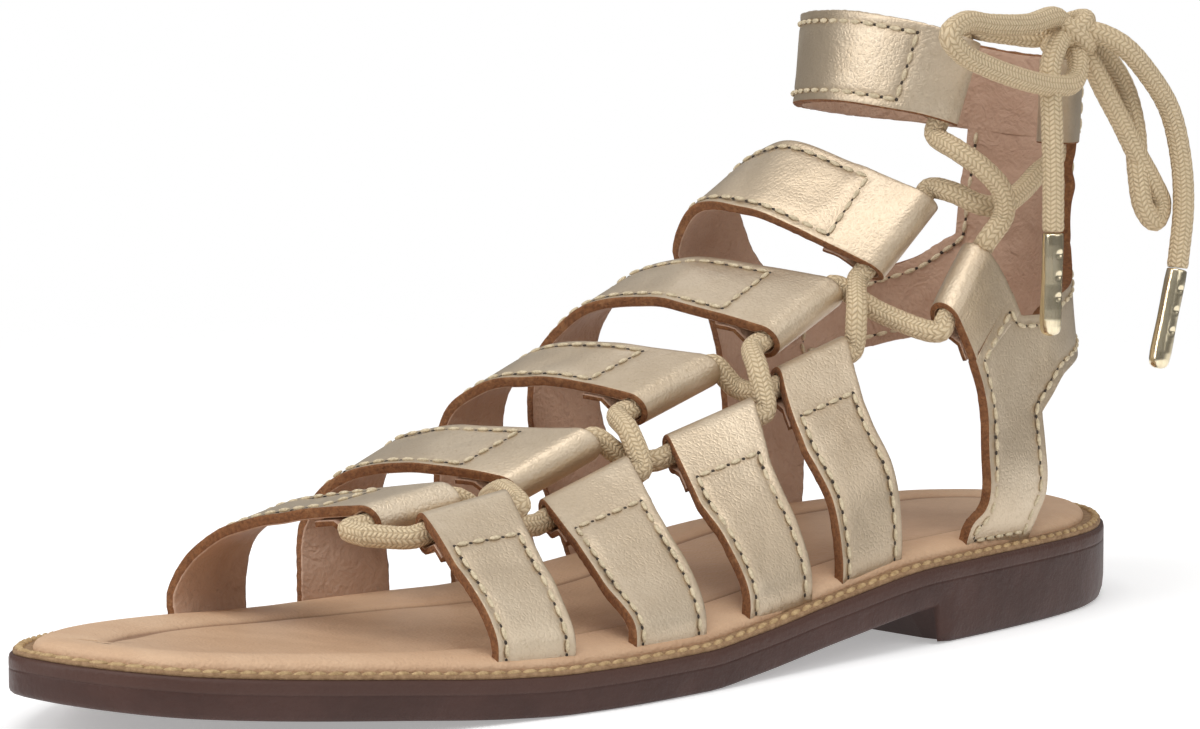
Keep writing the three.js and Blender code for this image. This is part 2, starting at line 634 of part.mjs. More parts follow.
// Welt: a narrow flat ring on the sole's top edge
function weltGeometry() {
  const geometry = new THREE.TorusGeometry(1, 0.1, WELT_SIDES, WELT_STEPS);
  const p = geometry.attributes.position;
  const uv = geometry.attributes.uv;
  const rings = [WELT_INSET, WELT_INSET + WELT_WIDTH].map((inset) => ({
    inset,
    lateral: outlineRows('lateral', inset),
    medial: outlineRows('medial', inset),
  }));
  for (let i = 0; i < p.count; i += 1) {
    const turn = (uv.getX(i) % 1) * 2;
    const corner = Math.round(uv.getY(i) * WELT_SIDES) % WELT_SIDES;
    const ring = rings[corner === 1 || corner === 2 ? 1 : 0];
    const y = -Math.cos(Math.PI * turn) * (SOLE_LENGTH / 2 - ring.inset);
    const x = turn < 1 ? widthAt(ring.lateral, y) : -widthAt(ring.medial, y);
    const lift = corner < 2 ? CLEAR : CLEAR + WELT_THICK;
    p.setXYZ(i, x, y, soleTop(station(y)) + lift);
  }
  return tidy(geometry);
}

// Heel quarter: two legs, the counter round the heel, the back strap and the ankle cuff, joined
function ringFace(point, from, to, low, high, lean = 0) {
  const face = (u, v) => {
    const around = THREE.MathUtils.lerp(from + lean * (0.5 - v), to, u);
    return point(around, THREE.MathUtils.lerp(low(around), high(around), v));
  };
  let length = 0;
  for (let i = 0; i < RING_PARTS; i += 1) {
    length += face(i / RING_PARTS, 0.5).distanceTo(face((i + 1) / RING_PARTS, 0.5));
  }
  return { face, sign: -1, length };
}

const edgeOf = (rows, column) => (around) => readTable(rows, 'around', column, around);
const lateralLeg = strapFace(LATERAL_LEG);
const medialLeg = strapFace(MEDIAL_LEG);
const counterFace = ringFace(
  heelPoint, COUNTER_START, COUNTER_END, edgeOf(COUNTER_EDGES, 'low'), edgeOf(COUNTER_EDGES, 'high'),
);
const backFace = ringFace(
  anklePoint, -BACK_STRAP_HALF_ANGLE, BACK_STRAP_HALF_ANGLE, () => BACK_STRAP_LOW, () => BACK_STRAP_HIGH,
);
const cuffFace = ringFace(
  anklePoint, CUFF_START, CUFF_END, edgeOf(CUFF_EDGES, 'low'), edgeOf(CUFF_EDGES, 'high'), CUFF_LEAN,
);

const quarterGeometry = () => joined([
  band(lateralLeg, QUARTER_BANDS.lateralLeg),
  band(medialLeg, QUARTER_BANDS.medialLeg),
  band(counterFace, QUARTER_BANDS.counter),
  band(backFace, QUARTER_BANDS.backStrap),
  band(cuffFace, QUARTER_BANDS.cuff),
]);

// Lacing: two strands from one bar at the toe, crossed over the gap between each pair of straps
const straps = STRAPS.map((strap) => ({ ...strap, ...strapFace(strap) }));
const laterals = [...straps.filter((strap) => strap.side > 0), lateralLeg];
const medials = [...straps.filter((strap) => strap.side < 0), medialLeg];
const through = (strap, end = 1) => [
  holeMiddle(strap, 0, -LACE_PAST, end),
  ...[0, 0.5, 1].map((share) => holeMiddle(strap, share, 0, end)),
  holeMiddle(strap, 1, LACE_PAST, end),
];

function crossing(from, to, lift) {
  const up = normalOf(from.face, 1, 1, from.sign).add(normalOf(to.face, 1, 0, to.sign)).normalize();
  return holeMiddle(from, 1, 0).lerp(holeMiddle(to, 0, 0), 0.5).addScaledVector(up, lift);
}

function strand(first, second, lifts, cuffEnd, before, after) {
  const sides = [first, second];
  const barEnd = holeMiddle(first[0], 0, -LACE_PAST);
  const bar = barEnd.lerp(holeMiddle(second[0], 0, -LACE_PAST), 0.5).add(new THREE.Vector3(0, -BAR_BOW, 0));
  const points = [bar, ...through(first[0])];
  for (let i = 1; i < first.length; i += 1) {
    const from = sides[(i + 1) % 2][i - 1];
    const to = sides[i % 2][i];
    points.push(crossing(from, to, lifts[i % 2]), ...through(to));
  }
  return [...points, ...before.map(vector), ...through(cuffFace, cuffEnd), ...after.map(vector)];
}

const lacingGeometry = () => joined([
  strand(medials, laterals, [LACE_OVER, -LACE_OVER], 1, ANKLE_ROUTES.inner, ANKLE_ROUTES.innerTop),
  strand(laterals, medials, [-LACE_OVER, LACE_OVER], 0, ANKLE_ROUTES.outer, ANKLE_ROUTES.outerTop),
].map((points) => tube(points, STRAND_STEPS, LACE_RADIUS, LACE_SIDES)));

// Bow: knot, two loops and two ends as one cord
function bowGeometry() {
  const knot = new THREE.SphereGeometry(1, KNOT_SIDES, KNOT_ROWS);
  knot.scale(...KNOT_SIZE);
  knot.translate(...KNOT);
  const cords = Object.entries(BOW).map(([name, route]) => {
    const points = route.map(vector);
    return tube(points, BOW_STEPS[name], LACE_RADIUS, LACE_SIDES);
  });
  return joined([tidy(knot), ...cords]);
}

// Aglet: a metal tip with a rounded end, turned on its own axis
function agletMesh({ name, from, towards }) {
  const profile = AGLET_PROFILE.map(({ share, along }) => new THREE.Vector2(AGLET_RADIUS * share, along));
  const tip = tidy(new THREE.LatheGeometry(profile, AGLET_SIDES));
  const mesh = new THREE.Mesh(tip, materialOf('aglet'));
  mesh.name = name;
  const axis = vector(towards).sub(vector(from)).normalize();
  mesh.quaternion.setFromUnitVectors(new THREE.Vector3(0, 1, 0), axis);
  mesh.position.copy(vector(from)).addScaledVector(axis, CLEAR);
  return mesh;
}

function materialOf(colour) {
  return new THREE.MeshStandardMaterial(COLOURS[colour]);
}

function piece(name, geometry, colour) {
  const mesh = new THREE.Mesh(geometry, materialOf(colour));
  mesh.name = name;
  return mesh;
}

const sandal = new THREE.Group();
sandal.position.x = FRAME_SHIFT_X;
sandal.add(
  piece('outsole', soleGeometry(), 'sole'),
  piece('welt', weltGeometry(), 'welt'),
  piece('insole', insoleGeometry(), 'insole'),
  piece('heel_quarter', quarterGeometry(), 'gold'),
  ...straps.map((strap) => piece(strap.name, band(strap, STRAP_BAND), 'gold')),
  piece('lacing', lacingGeometry(), 'lace'),
  piece('lace_bow', bowGeometry(), 'lace'),
  ...AGLETS.map(agletMesh),
);

export default sandal;
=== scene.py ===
import math

import bmesh
import bpy
import numpy as np
from mathutils import Matrix, Vector, noise


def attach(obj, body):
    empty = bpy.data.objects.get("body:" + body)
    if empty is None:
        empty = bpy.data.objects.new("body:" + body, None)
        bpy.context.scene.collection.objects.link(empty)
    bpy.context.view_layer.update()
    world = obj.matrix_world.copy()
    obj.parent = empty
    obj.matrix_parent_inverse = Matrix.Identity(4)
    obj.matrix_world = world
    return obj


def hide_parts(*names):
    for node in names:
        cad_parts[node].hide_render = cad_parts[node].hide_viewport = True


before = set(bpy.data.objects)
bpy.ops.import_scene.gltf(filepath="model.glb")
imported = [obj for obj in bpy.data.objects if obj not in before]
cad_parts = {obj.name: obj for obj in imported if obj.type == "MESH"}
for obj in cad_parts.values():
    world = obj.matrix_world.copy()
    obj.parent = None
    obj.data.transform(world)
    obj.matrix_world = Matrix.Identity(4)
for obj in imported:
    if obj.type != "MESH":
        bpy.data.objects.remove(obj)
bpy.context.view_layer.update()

mm = 0.001
clear = 0.35  # air left between pieces
shiftX = -1.7  # sets the sole's box midway over the origin

# Camera, light and floor

cameraSizes = {"place": (0.6401, -0.6011, 0.1539), "turn": (83.42, 0, 46.8), "lens": 147.7, "sensor": 36}
lightSizes = {
    "overhead": {"place": (0.25, -0.35, 1.0), "aim": (0, 0, 0.03), "size": (0.8, 0.6), "power": 4.6},
    "toeSide": {"place": (-0.3, -0.95, 0.5), "aim": (0, 0, 0.05), "size": (0.4, 0.7), "power": 4.0},
    "heelSide": {"place": (0.95, 0.2, 0.55), "aim": (0, 0.05, 0.05), "size": (1.0, 0.7), "power": 2.3},
    "farSide": {"place": (-0.5, 0.6, 0.95), "aim": (0, 0, 0.06), "size": (0.3, 0.2), "power": 0.3},
}


def aimed(place, aim):
    return (Vector(aim) - Vector(place)).to_track_quat("-Z", "Y").to_euler()


def makeCamera():
    lens = bpy.data.cameras.new("camera")
    lens.sensor_width = cameraSizes["sensor"]
    lens.lens = cameraSizes["lens"]
    camera = bpy.data.objects.new("camera", lens)
    camera.location = cameraSizes["place"]
    camera.rotation_euler = [math.radians(a) for a in cameraSizes["turn"]]
    bpy.context.scene.collection.objects.link(camera)
    bpy.context.scene.camera = camera


def makeLights():
    for name, sizes in lightSizes.items():
        light = bpy.data.lights.new(name, "AREA")
        light.shape = "RECTANGLE"
        light.size, light.size_y = sizes["size"]
        light.energy = sizes["power"]
        lamp = bpy.data.objects.new(name, light)
        lamp.location = sizes["place"]
        lamp.rotation_euler = aimed(sizes["place"], sizes["aim"])
        bpy.context.scene.collection.objects.link(lamp)
    bpy.context.scene.view_settings.view_transform = "Standard"


# Dim low down, brighter overhead
worldSizes = {"From Min": 0.05, "From Max": 0.85, "To Min": 0.16, "To Max": 0.62}


def makeWorld():
    world = bpy.data.worlds.new("studio")
    bpy.context.scene.world = world
    world.use_nodes = True
    tree = world.node_tree
    back = tree.nodes["Background"]
    back.inputs["Color"].default_value = (1, 1, 1, 1)
    spread = tree.nodes.new("ShaderNodeTexCoord")
    height = tree.nodes.new("ShaderNodeSeparateXYZ")
    rise = tree.nodes.new("ShaderNodeMapRange")
    for socket, value in worldSizes.items():
        rise.inputs[socket].default_value = value
    seen = tree.nodes.new("ShaderNodeBackground")
    seen.inputs["Color"].default_value = (1, 1, 1, 1)
    path = tree.nodes.new("ShaderNodeLightPath")
    mix = tree.nodes.new("ShaderNodeMixShader")
    for source, target in (
        (spread.outputs["Generated"], height.inputs[0]),
        (height.outputs["Z"], rise.inputs["Value"]),
        (rise.outputs[0], back.inputs["Strength"]),
        (path.outputs["Is Camera Ray"], mix.inputs[0]),
        (back.outputs[0], mix.inputs[1]),
        (seen.outputs[0], mix.inputs[2]),
        (mix.outputs[0], tree.nodes["World Output"].inputs["Surface"]),
    ):
        tree.links.new(source, target)


# Shader maths: a socket that adds, multiplies and so on in Python

def operator(operation, flipped=False):
    def work(self, other):
        return self.maths(operation, other, self) if flipped else self.maths(operation, self, other)
    return work


class Amount:
    def __init__(self, finish, socket):
        self.finish = finish
        self.socket = socket

    def maths(self, operation, *values):
        node = self.finish.node("ShaderNodeMath", {"operation": operation}, dict(enumerate(values)))
        return Amount(self.finish, node.outputs[0])

    __add__, __radd__ = operator("ADD"), operator("ADD", True)
    __sub__, __rsub__ = operator("SUBTRACT"), operator("SUBTRACT", True)
    __mul__, __rmul__ = operator("MULTIPLY"), operator("MULTIPLY", True)
    __truediv__, __rtruediv__ = operator("DIVIDE"), operator("DIVIDE", True)
    __pow__ = operator("POWER")

    def floor(self):
        return self.maths("FLOOR", self)

    def fract(self):
        return self.maths("FRACT", self)

    def size(self):
        return self.maths("ABSOLUTE", self)

    def sine(self):
        return self.maths("SINE", self)

    def between(self, low, high):  # 0 below low, 1 above high
        node = self.finish.node("ShaderNodeMapRange", {"interpolation_type": "SMOOTHSTEP"},
                                {0: self, 1: low, 2: high, 3: 0, 4: 1})
        return Amount(self.finish, node.outputs[0])


class Finish:
    def __init__(self, name, **sockets):
        self.material = bpy.data.materials.new(name)
        self.material.use_nodes = True
        self.tree = self.material.node_tree
        self.shader = self.tree.nodes["Principled BSDF"]
        for socket, value in sockets.items():
            self.give(self.shader, socket.replace("_", " "), value)

    def give(self, node, socket, value):
        target = node.inputs[socket]
        if isinstance(value, Amount):
            self.tree.links.new(value.socket, target)
        elif isinstance(value, bpy.types.NodeSocket):
            self.tree.links.new(value, target)
        elif target.type == "RGBA" and len(value) == 3:
            target.default_value = (*value, 1)
        else:
            target.default_value = value

    def node(self, kind, settings=None, sockets=None):
        node = self.tree.nodes.new(kind)
        for name, value in (settings or {}).items():
            setattr(node, name, value)
        for name, value in (sockets or {}).items():
            self.give(node, name, value)
        return node

    def places(self):
        return self.node("ShaderNodeTexCoord").outputs["Object"]

    def stretched(self, scale):
        return self.node("ShaderNodeMapping", {}, {"Vector": self.places(), "Scale": scale}).outputs[0]

    def grain(self, scale, detail=3, roughness=0.5, at=None, distortion=0.0):
        sockets = {"Scale": scale, "Detail": detail, "Roughness": roughness, "Distortion": distortion,
                   "Vector": at or self.places()}
        return Amount(self, self.node("ShaderNodeTexNoise", {}, sockets).outputs[0])

    def cells(self, scale, feature="F1"):
        sockets = {"Scale": scale, "Vector": self.places()}
        node = self.node("ShaderNodeTexVoronoi", {"feature": feature}, sockets)
        return Amount(self, node.outputs["Distance"])

    def sheetPlace(self):
        parts = self.node("ShaderNodeSeparateXYZ", {}, {0: self.node("ShaderNodeUVMap").outputs[0]})
        return Amount(self, parts.outputs[0]), Amount(self, parts.outputs[1])

    def own(self, name):
        return Amount(self, self.node("ShaderNodeAttribute", {"attribute_name": name}).outputs["Fac"])

    def blend(self, share, first, second):
        node = self.node("ShaderNodeMix", {"data_type": "RGBA"}, {"Factor": share, 6: first, 7: second})
        return node.outputs[2]

    def bump(self, height, depth, under=None):
        sockets = {"Height": height, "Distance": depth * mm, "Strength": 1.0}
        if under is not None:
            sockets["Normal"] = under
        return self.node("ShaderNodeBump", {}, sockets).outputs[0]

    def done(self, base, roughness, normal):
        for socket, value in (("Base Color", base), ("Roughness", roughness), ("Normal", normal)):
            self.give(self.shader, socket, value)
        return self


# Tables and curves

def readTable(rows, column, at):  # a rounded curve through the rows that never overshoots them
    key = np.array([row[0] for row in rows], float)
    value = np.array([row[column] for row in rows], float)
    slope = np.diff(value) / np.diff(key)
    product = slope[:-1] * slope[1:]
    total = np.where(product > 0, slope[:-1] + slope[1:], 1)
    tangent = np.concatenate([[slope[0]], np.where(product > 0, 2 * product / total, 0), [slope[-1]]])
    at = np.clip(np.asarray(at, float), key[0], key[-1])
    i = np.clip(np.searchsorted(key, at) - 1, 0, len(key) - 2)
    width = key[i + 1] - key[i]
    x = (at - key[i]) / width
    cube = x * x * (3 - 2 * x)
    leave = x * (1 - x) * (1 - x) * tangent[i] * width
    arrive = x * x * (x - 1) * tangent[i + 1] * width
    return value[i] + (value[i + 1] - value[i]) * cube + leave + arrive


def smoothStep(low, high, x):
    t = np.clip((x - low) / (high - low), 0, 1)
    return t * t * (3 - 2 * t)


def smoothRoute(points, parts=20):  # points close together on a smooth curve through the given ones
    p = np.array(points, float)
    p = np.vstack([2 * p[0] - p[1], p, 2 * p[-1] - p[-2]])
    share = np.linspace(0, 1, parts, endpoint=False)[:, None]
    found = []
    for i in range(1, len(p) - 2):
        a, b, c = [max(np.linalg.norm(p[i + k] - p[i + k - 1]), 1e-6) ** 0.5 for k in (0, 1, 2)]
        leave = ((p[i] - p[i - 1]) / a - (p[i + 1] - p[i - 1]) / (a + b) + (p[i + 1] - p[i]) / b) * b
        arrive = ((p[i + 1] - p[i]) / b - (p[i + 2] - p[i]) / (b + c) + (p[i + 2] - p[i + 1]) / c) * b
        rise = p[i + 1] - p[i]
        found.append(p[i] + share * leave + share ** 2 * (3 * rise - 2 * leave - arrive)
                     + share ** 3 * (leave + arrive - 2 * rise))
    return np.vstack(found + [p[-2][None, :]])


def runOf(route):
    steps = np.linalg.norm(np.diff(route, axis=0), axis=1)
    return np.concatenate([[0], np.cumsum(steps)])


def evenly(route, shares, run=None):  # points at shares of the route's length
    run = runOf(route) if run is None else run
    at = np.asarray(shares, float) * run[-1]
    return np.stack([np.interp(at, run, route[:, k]) for k in range(3)], axis=-1)


def unit(v):
    return v / np.maximum(np.linalg.norm(v, axis=-1, keepdims=True), 1e-9)


# Building: a flat grid carried to its place, welded and given its finishes

def bendSheet(name, columns, rows, place, finishes, faceFinish=None, sheetPlace=None, own=None):
    bm = bmesh.new()
    uvs = bm.loops.layers.uv.new("UVMap")
    bmesh.ops.create_grid(bm, x_segments=columns, y_segments=rows, size=0.5)
    bm.verts.ensure_lookup_table()
    spot = np.array([(v.co.x + 0.5, v.co.y + 0.5) for v in bm.verts])
    i = np.rint(spot[:, 0] * columns).astype(int)
    j = np.rint(spot[:, 1] * rows).astype(int)
    points = (place(i, j) + np.array([shiftX, 0, 0])) * mm
    layers = {key: bm.verts.layers.float.new(key) for key in (own or {})}
    values = {key: own[key](i, j) for key in layers}
    flat = sheetPlace or (lambda i, j: np.stack([i / columns, j / rows], axis=-1))
    for face in bm.faces:
        k = [v.index for v in face.verts]
        if faceFinish is not None:
            face.material_index = faceFinish(min(i[q] for q in k), min(j[q] for q in k))
        for loop, uv in zip(face.loops, flat(i[k], j[k])):
            loop[uvs].uv = uv
        face.smooth = True
    for v, point in zip(bm.verts, points):
        v.co = point
        for key, layer in layers.items():
            v[layer] = values[key][v.index]
    bmesh.ops.remove_doubles(bm, verts=bm.verts, dist=1e-6)
    bmesh.ops.dissolve_degenerate(bm, edges=bm.edges, dist=1e-7)
    bmesh.ops.holes_fill(bm, edges=bm.edges, sides=0)
    bmesh.ops.recalc_face_normals(bm, faces=bm.faces)
    return finished(name, bm, finishes)


def finished(name, bm, finishes):
    mesh = bpy.data.meshes.new(name)
    bm.to_mesh(mesh)
    bm.free()
    for finish in finishes:
        mesh.materials.append(finish.material)
    piece = bpy.data.objects.new(name, mesh)
    bpy.context.scene.collection.objects.link(piece)
    return piece


def worn(piece, slot, *nodes):  # rides on the shoe and stands for its nodes, which it hides; the slot is not used
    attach(piece, "root")
    if nodes:
        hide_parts(*nodes)
    return piece


# Finishes: grain scales are per metre and bump depths are in millimetres

goldPaint = {
    "deep": (0.60, 0.485, 0.35), "pale": (0.70, 0.585, 0.44),
    # worn darkens the cut edges as real wear and the stitch channels as painted shade
    "speck": (0.50, 0.38, 0.24), "worn": (0.42, 0.31, 0.20),
    "crackle": 1150, "crinkle": 1700, "ripple": 110, "patch": 45, "speckle": 1500,
    "fineDepth": 0.08, "rippleDepth": 0.3, "roughness": 0.36,
}


def goldLeather():
    gold = Finish("goldLeather", Metallic=0.86, Coat_Weight=0.15)
    crackle = gold.cells(goldPaint["crackle"], "DISTANCE_TO_EDGE").between(0.0, 0.3)
    crinkle = crackle * 0.35 + gold.grain(goldPaint["crinkle"], 4, 0.65) * 0.65
    ripples = gold.grain(goldPaint["ripple"], 3, 0.5, distortion=0.6)
    patches = gold.grain(goldPaint["patch"], 3, 0.6)
    # channel is 1 along the pressed stitch lines, where the gold is darkened as painted shade
    channel = 1 - gold.own("seam").between(0.35, 1.5)
    wear = 1 - gold.own("edge").between(0.2, 1.1)
    base = gold.blend(patches.between(0.35, 0.7), goldPaint["deep"], goldPaint["pale"])
    specks = gold.grain(goldPaint["speckle"], 2).between(0.5, 0.78)
    base = gold.blend(specks * 0.35, base, goldPaint["speck"])
    # edge wear is real rubbing of the gold; the channel share is painted shade in the recess
    base = gold.blend(channel * 0.25 + wear * 0.3, base, goldPaint["worn"])
    fine = gold.bump(crinkle, goldPaint["fineDepth"])
    return gold.done(base, goldPaint["roughness"] + crinkle * 0.12 + patches * 0.10,
                     gold.bump(ripples, goldPaint["rippleDepth"], fine))


liningPaint = {
    "pale": (0.56, 0.375, 0.27), "deep": (0.46, 0.29, 0.20), "wrinkle": (0.30, 0.165, 0.11),
    "blotches": 55, "pores": 1300, "wrinkles": 260, "wrinkleDepth": 0.6, "poreDepth": 0.12, "roughness": 0.5,
}


def liningLeather():
    lining = Finish("liningLeather")
    blotches = lining.grain(liningPaint["blotches"], 4, 0.6)
    wrinkles = lining.grain(liningPaint["wrinkles"], 4, 0.6, distortion=1.2)
    base = lining.blend(blotches.between(0.3, 0.7), liningPaint["pale"], liningPaint["deep"])
    base = lining.blend(wrinkles.between(0.55, 0.8) * 0.4, base, liningPaint["wrinkle"])
    pores = lining.bump(lining.cells(liningPaint["pores"]), liningPaint["poreDepth"])
    return lining.done(base, liningPaint["roughness"] + blotches * 0.25,
                       lining.bump(wrinkles, liningPaint["wrinkleDepth"], pores))


rawPaint = {
    "pale": (0.30, 0.125, 0.045), "deep": (0.16, 0.06, 0.022), "layer": (0.42, 0.21, 0.09),
    "fibres": 1400, "layers": 420, "depth": 0.5,
}


def rawEdge():
    raw = Finish("rawEdge")
    fibres = raw.grain(rawPaint["fibres"], 5, 0.7)
    layers = raw.grain(rawPaint["layers"], 3, 0.6)
    base = raw.blend(fibres.between(0.3, 0.7), rawPaint["pale"], rawPaint["deep"])
    base = raw.blend(layers.between(0.55, 0.75) * 0.6, base, rawPaint["layer"])
    return raw.done(base, 0.9, raw.bump(fibres, rawPaint["depth"]))


rubberPaint = {
    "pale": (0.064, 0.027, 0.020), "deep": (0.046, 0.019, 0.014), "upper": (0.084, 0.039, 0.028),
    "mottle": 70, "specks": 1600, "mottleDepth": 0.8, "speckDepth": 0.12, "roughness": 0.38,
}


def soleRubber():
    rubber = Finish("soleRubber", Specular_IOR_Level=0.32)
    mottle = rubber.grain(rubberPaint["mottle"], 4, 0.6)
    specks = rubber.grain(rubberPaint["specks"], 3, 0.6)
    base = rubber.blend(mottle.between(0.3, 0.7), rubberPaint["pale"], rubberPaint["deep"])
    base = rubber.blend(rubber.own("level").between(0.60, 0.66) * 0.55, base, rubberPaint["upper"])
    fine = rubber.bump(specks, rubberPaint["speckDepth"])
    return rubber.done(base, rubberPaint["roughness"] + mottle * 0.16 + specks * 0.06,
                       rubber.bump(mottle, rubberPaint["mottleDepth"], fine))


insolePaint = {
    "rimPale": (0.68, 0.465, 0.30), "rimDeep": (0.59, 0.38, 0.235), "middlePale": (0.64, 0.43, 0.275),
    "middleDeep": (0.54, 0.345, 0.21), "line": (0.22, 0.11, 0.06),
    "blotches": 38, "pores": 1500, "wrinkles": 190, "wrinkleDepth": 0.4, "poreDepth": 0.1, "roughness": 0.55,
}


def insoleLeather():
    insole = Finish("insoleLeather", Specular_IOR_Level=0.35)
    blotches = insole.grain(insolePaint["blotches"], 4, 0.6)
    wrinkles = insole.grain(insolePaint["wrinkles"], 4, 0.6, distortion=1.0)
    centre = insole.own("centre")
    rim = insole.blend(blotches.between(0.3, 0.7), insolePaint["rimPale"], insolePaint["rimDeep"])
    middle = insole.blend(blotches.between(0.35, 0.7), insolePaint["middlePale"], insolePaint["middleDeep"])
    base = insole.blend(insole.own("line") * 0.75, insole.blend(centre, rim, middle), insolePaint["line"])
    pores = insole.bump(insole.cells(insolePaint["pores"]), insolePaint["poreDepth"])
    return insole.done(base, insolePaint["roughness"] - centre * 0.14 + blotches * 0.1,
                       insole.bump(wrinkles, insolePaint["wrinkleDepth"], pores))


laceSizes = {"radius": 2.05, "sides": 24, "step": 0.6, "columns": 12, "rib": 0.85, "slant": 0.7, "proud": 0.1,
             "endShrink": 0.92}
# the groove colour is the rib colour darkened: painted shade in the hollows of the braid
lacePaint = {
    "grooveShade": (0.58, 0.43, 0.255), "rib": (0.80, 0.64, 0.42), "soiled": (0.68, 0.52, 0.32),
    "fuzz": 2200, "soil": 60, "ribDepth": 0.22, "fuzzDepth": 0.3, "roughness": 0.85,
}


def laceCotton():  # ribs in columns round the lace, leaning one way and then the other
    lace = Finish("laceCotton")
    around, along = lace.sheetPlace()
    column = around * laceSizes["columns"]
    inColumn = column.fract()
    side = (column.floor() * 0.5).fract() * 4 - 1
    phase = (along / laceSizes["rib"] + side * (inColumn - 0.5) * laceSizes["slant"]).fract()
    edge = ((inColumn * 2 - 1).size()) ** 3
    rib = (phase * math.pi).sine() * (1 - edge * 0.75)
    # the grooves between and inside the rib columns get painted shade, the ribs the thread's own colour
    base = lace.blend(rib.between(0.15, 0.75), lacePaint["grooveShade"], lacePaint["rib"])
    base = lace.blend(lace.grain(lacePaint["soil"], 3).between(0.4, 0.7) * 0.2, base, lacePaint["soiled"])
    fuzz = lace.bump(lace.grain(lacePaint["fuzz"], 4, 0.7), lacePaint["fuzzDepth"])
    return lace.done(base, lacePaint["roughness"], lace.bump(rib, lacePaint["ribDepth"], fuzz))


tipPaint = {
    "pale": (0.86, 0.76, 0.55), "deep": (0.76, 0.65, 0.44), "streaks": (2200, 2200, 160), "depth": 0.03,
}


def plainMetal():
    metal = Finish("tipMetal", Metallic=1.0)
    streaks = metal.grain(1, 4, 0.6, at=metal.stretched(tipPaint["streaks"]))
    base = metal.blend(streaks.between(0.3, 0.7), tipPaint["pale"], tipPaint["deep"])
    return metal.done(base, 0.12 + streaks * 0.12, metal.bump(streaks, tipPaint["depth"]))


cordPaints = {  # two colours, grain scale, detail and roughness, start of the blend, depth, roughness
    "upperThread": ((0.70, 0.59, 0.41), (0.52, 0.43, 0.28), 1800, 3, 0.6, 0.35, 0.2, 0.65),
    # the needle holes' near-black colour is painted shade, standing in for the depth of each hole
    "needleHoleShade": ((0.05, 0.032, 0.02), (0.03, 0.02, 0.012), 1800, 3, 0.6, 0.35, 0.2, 0.65),
    "weltLeather": ((0.36, 0.225, 0.12), (0.23, 0.13, 0.06), 900, 4, 0.65, 0.3, 0.3, 0.8),
    "weltThread": ((0.55, 0.385, 0.20), (0.36, 0.23, 0.105), 900, 4, 0.65, 0.3, 0.3, 0.8),
}


def fibrous(name):
    pale, deep, scale, detail, coarse, low, depth, roughness = cordPaints[name]
    cord = Finish(name)
    fibres = cord.grain(scale, detail, coarse)
    base = cord.blend(fibres.between(low, 1 - low), pale, deep)
    return cord.done(base, roughness, cord.bump(fibres, depth))


floorSizes = {
    "size": 0.65, "fadeFrom": 0.22, "fadeTo": 0.6, "pale": (0.90, 0.90, 0.90), "deep": (0.88, 0.88, 0.88),
}


def floorPaint():
    paint = Finish("floorPaint", Roughness=0.75, Emission_Color=(1, 1, 1), Emission_Strength=0.35)
    base = paint.blend(paint.grain(3, 2), floorSizes["pale"], floorSizes["deep"])
    paint.give(paint.shader, "Base Color", base)
    away = paint.node("ShaderNodeVectorMath", {"operation": "LENGTH"}, {0: paint.places()})
    far = Amount(paint, away.outputs["Value"])
    paint.give(paint.shader, "Alpha", 1 - far.between(floorSizes["fadeFrom"], floorSizes["fadeTo"]))
    return paint


makeCamera()
makeLights()
makeWorld()
print("camera and lights are set")

gold = goldLeather()
lining = liningLeather()
raw = rawEdge()
rubber = soleRubber()
cottonLace = laceCotton()
thread = fibrous("upperThread")
needleHoleShade = fibrous("needleHoleShade")
weltLeather = fibrous("weltLeather")
weltThread = fibrous("weltThread")
footbed = insoleLeather()
tipMetal = plainMetal()
print("finishes are mixed")


# Lace: a round braid along a route

def lacePoints(points):
    route = smoothRoute(points)
    count = max(12, int(runOf(route)[-1] / laceSizes["step"]))
    return evenly(route, np.linspace(0, 1, count + 1))


def laceTube(name, points, radius=laceSizes["radius"]):
    sides = laceSizes["sides"]
    middle = lacePoints(points)
    along = unit(np.gradient(middle, axis=0))
    side = np.zeros_like(middle)
    start = np.cross(along[0], [0, 0, 1.0])
    side[0] = unit(start if np.linalg.norm(start) > 0.1 else np.cross(along[0], [1.0, 0, 0]))
    for k in range(1, len(middle)):
        side[k] = unit(side[k - 1] - along[k] * np.dot(side[k - 1], along[k]))
    up = np.cross(along, side)
    run = runOf(middle)

    def place(i, j):
        turn = 2 * math.pi * i / sides
        column = laceSizes["columns"] * i / sides
        lean = np.where(np.floor(column).astype(int) % 2 == 0, -1, 1)
        slanted = lean * (column % 1 - 0.5) * laceSizes["slant"]
        rib = np.abs(np.sin(math.pi * (run[j] / laceSizes["rib"] + slanted)))
        reach = radius - laceSizes["proud"] + laceSizes["proud"] * rib
        ends = np.minimum(j, len(middle) - 1 - j)
        reach = reach * np.where(ends == 0, laceSizes["endShrink"], 1)
        outward = side[j] * np.cos(turn)[:, None] + up[j] * np.sin(turn)[:, None]
        return middle[j] + outward * reach[:, None]

    flat = lambda i, j: np.stack([i / sides, run[j]], axis=-1)
    tube = bendSheet(name, sides, len(middle) - 1, place, [cottonLace], sheetPlace=flat)
    return tube, (middle + np.array([shiftX, 0, 0])) * mm


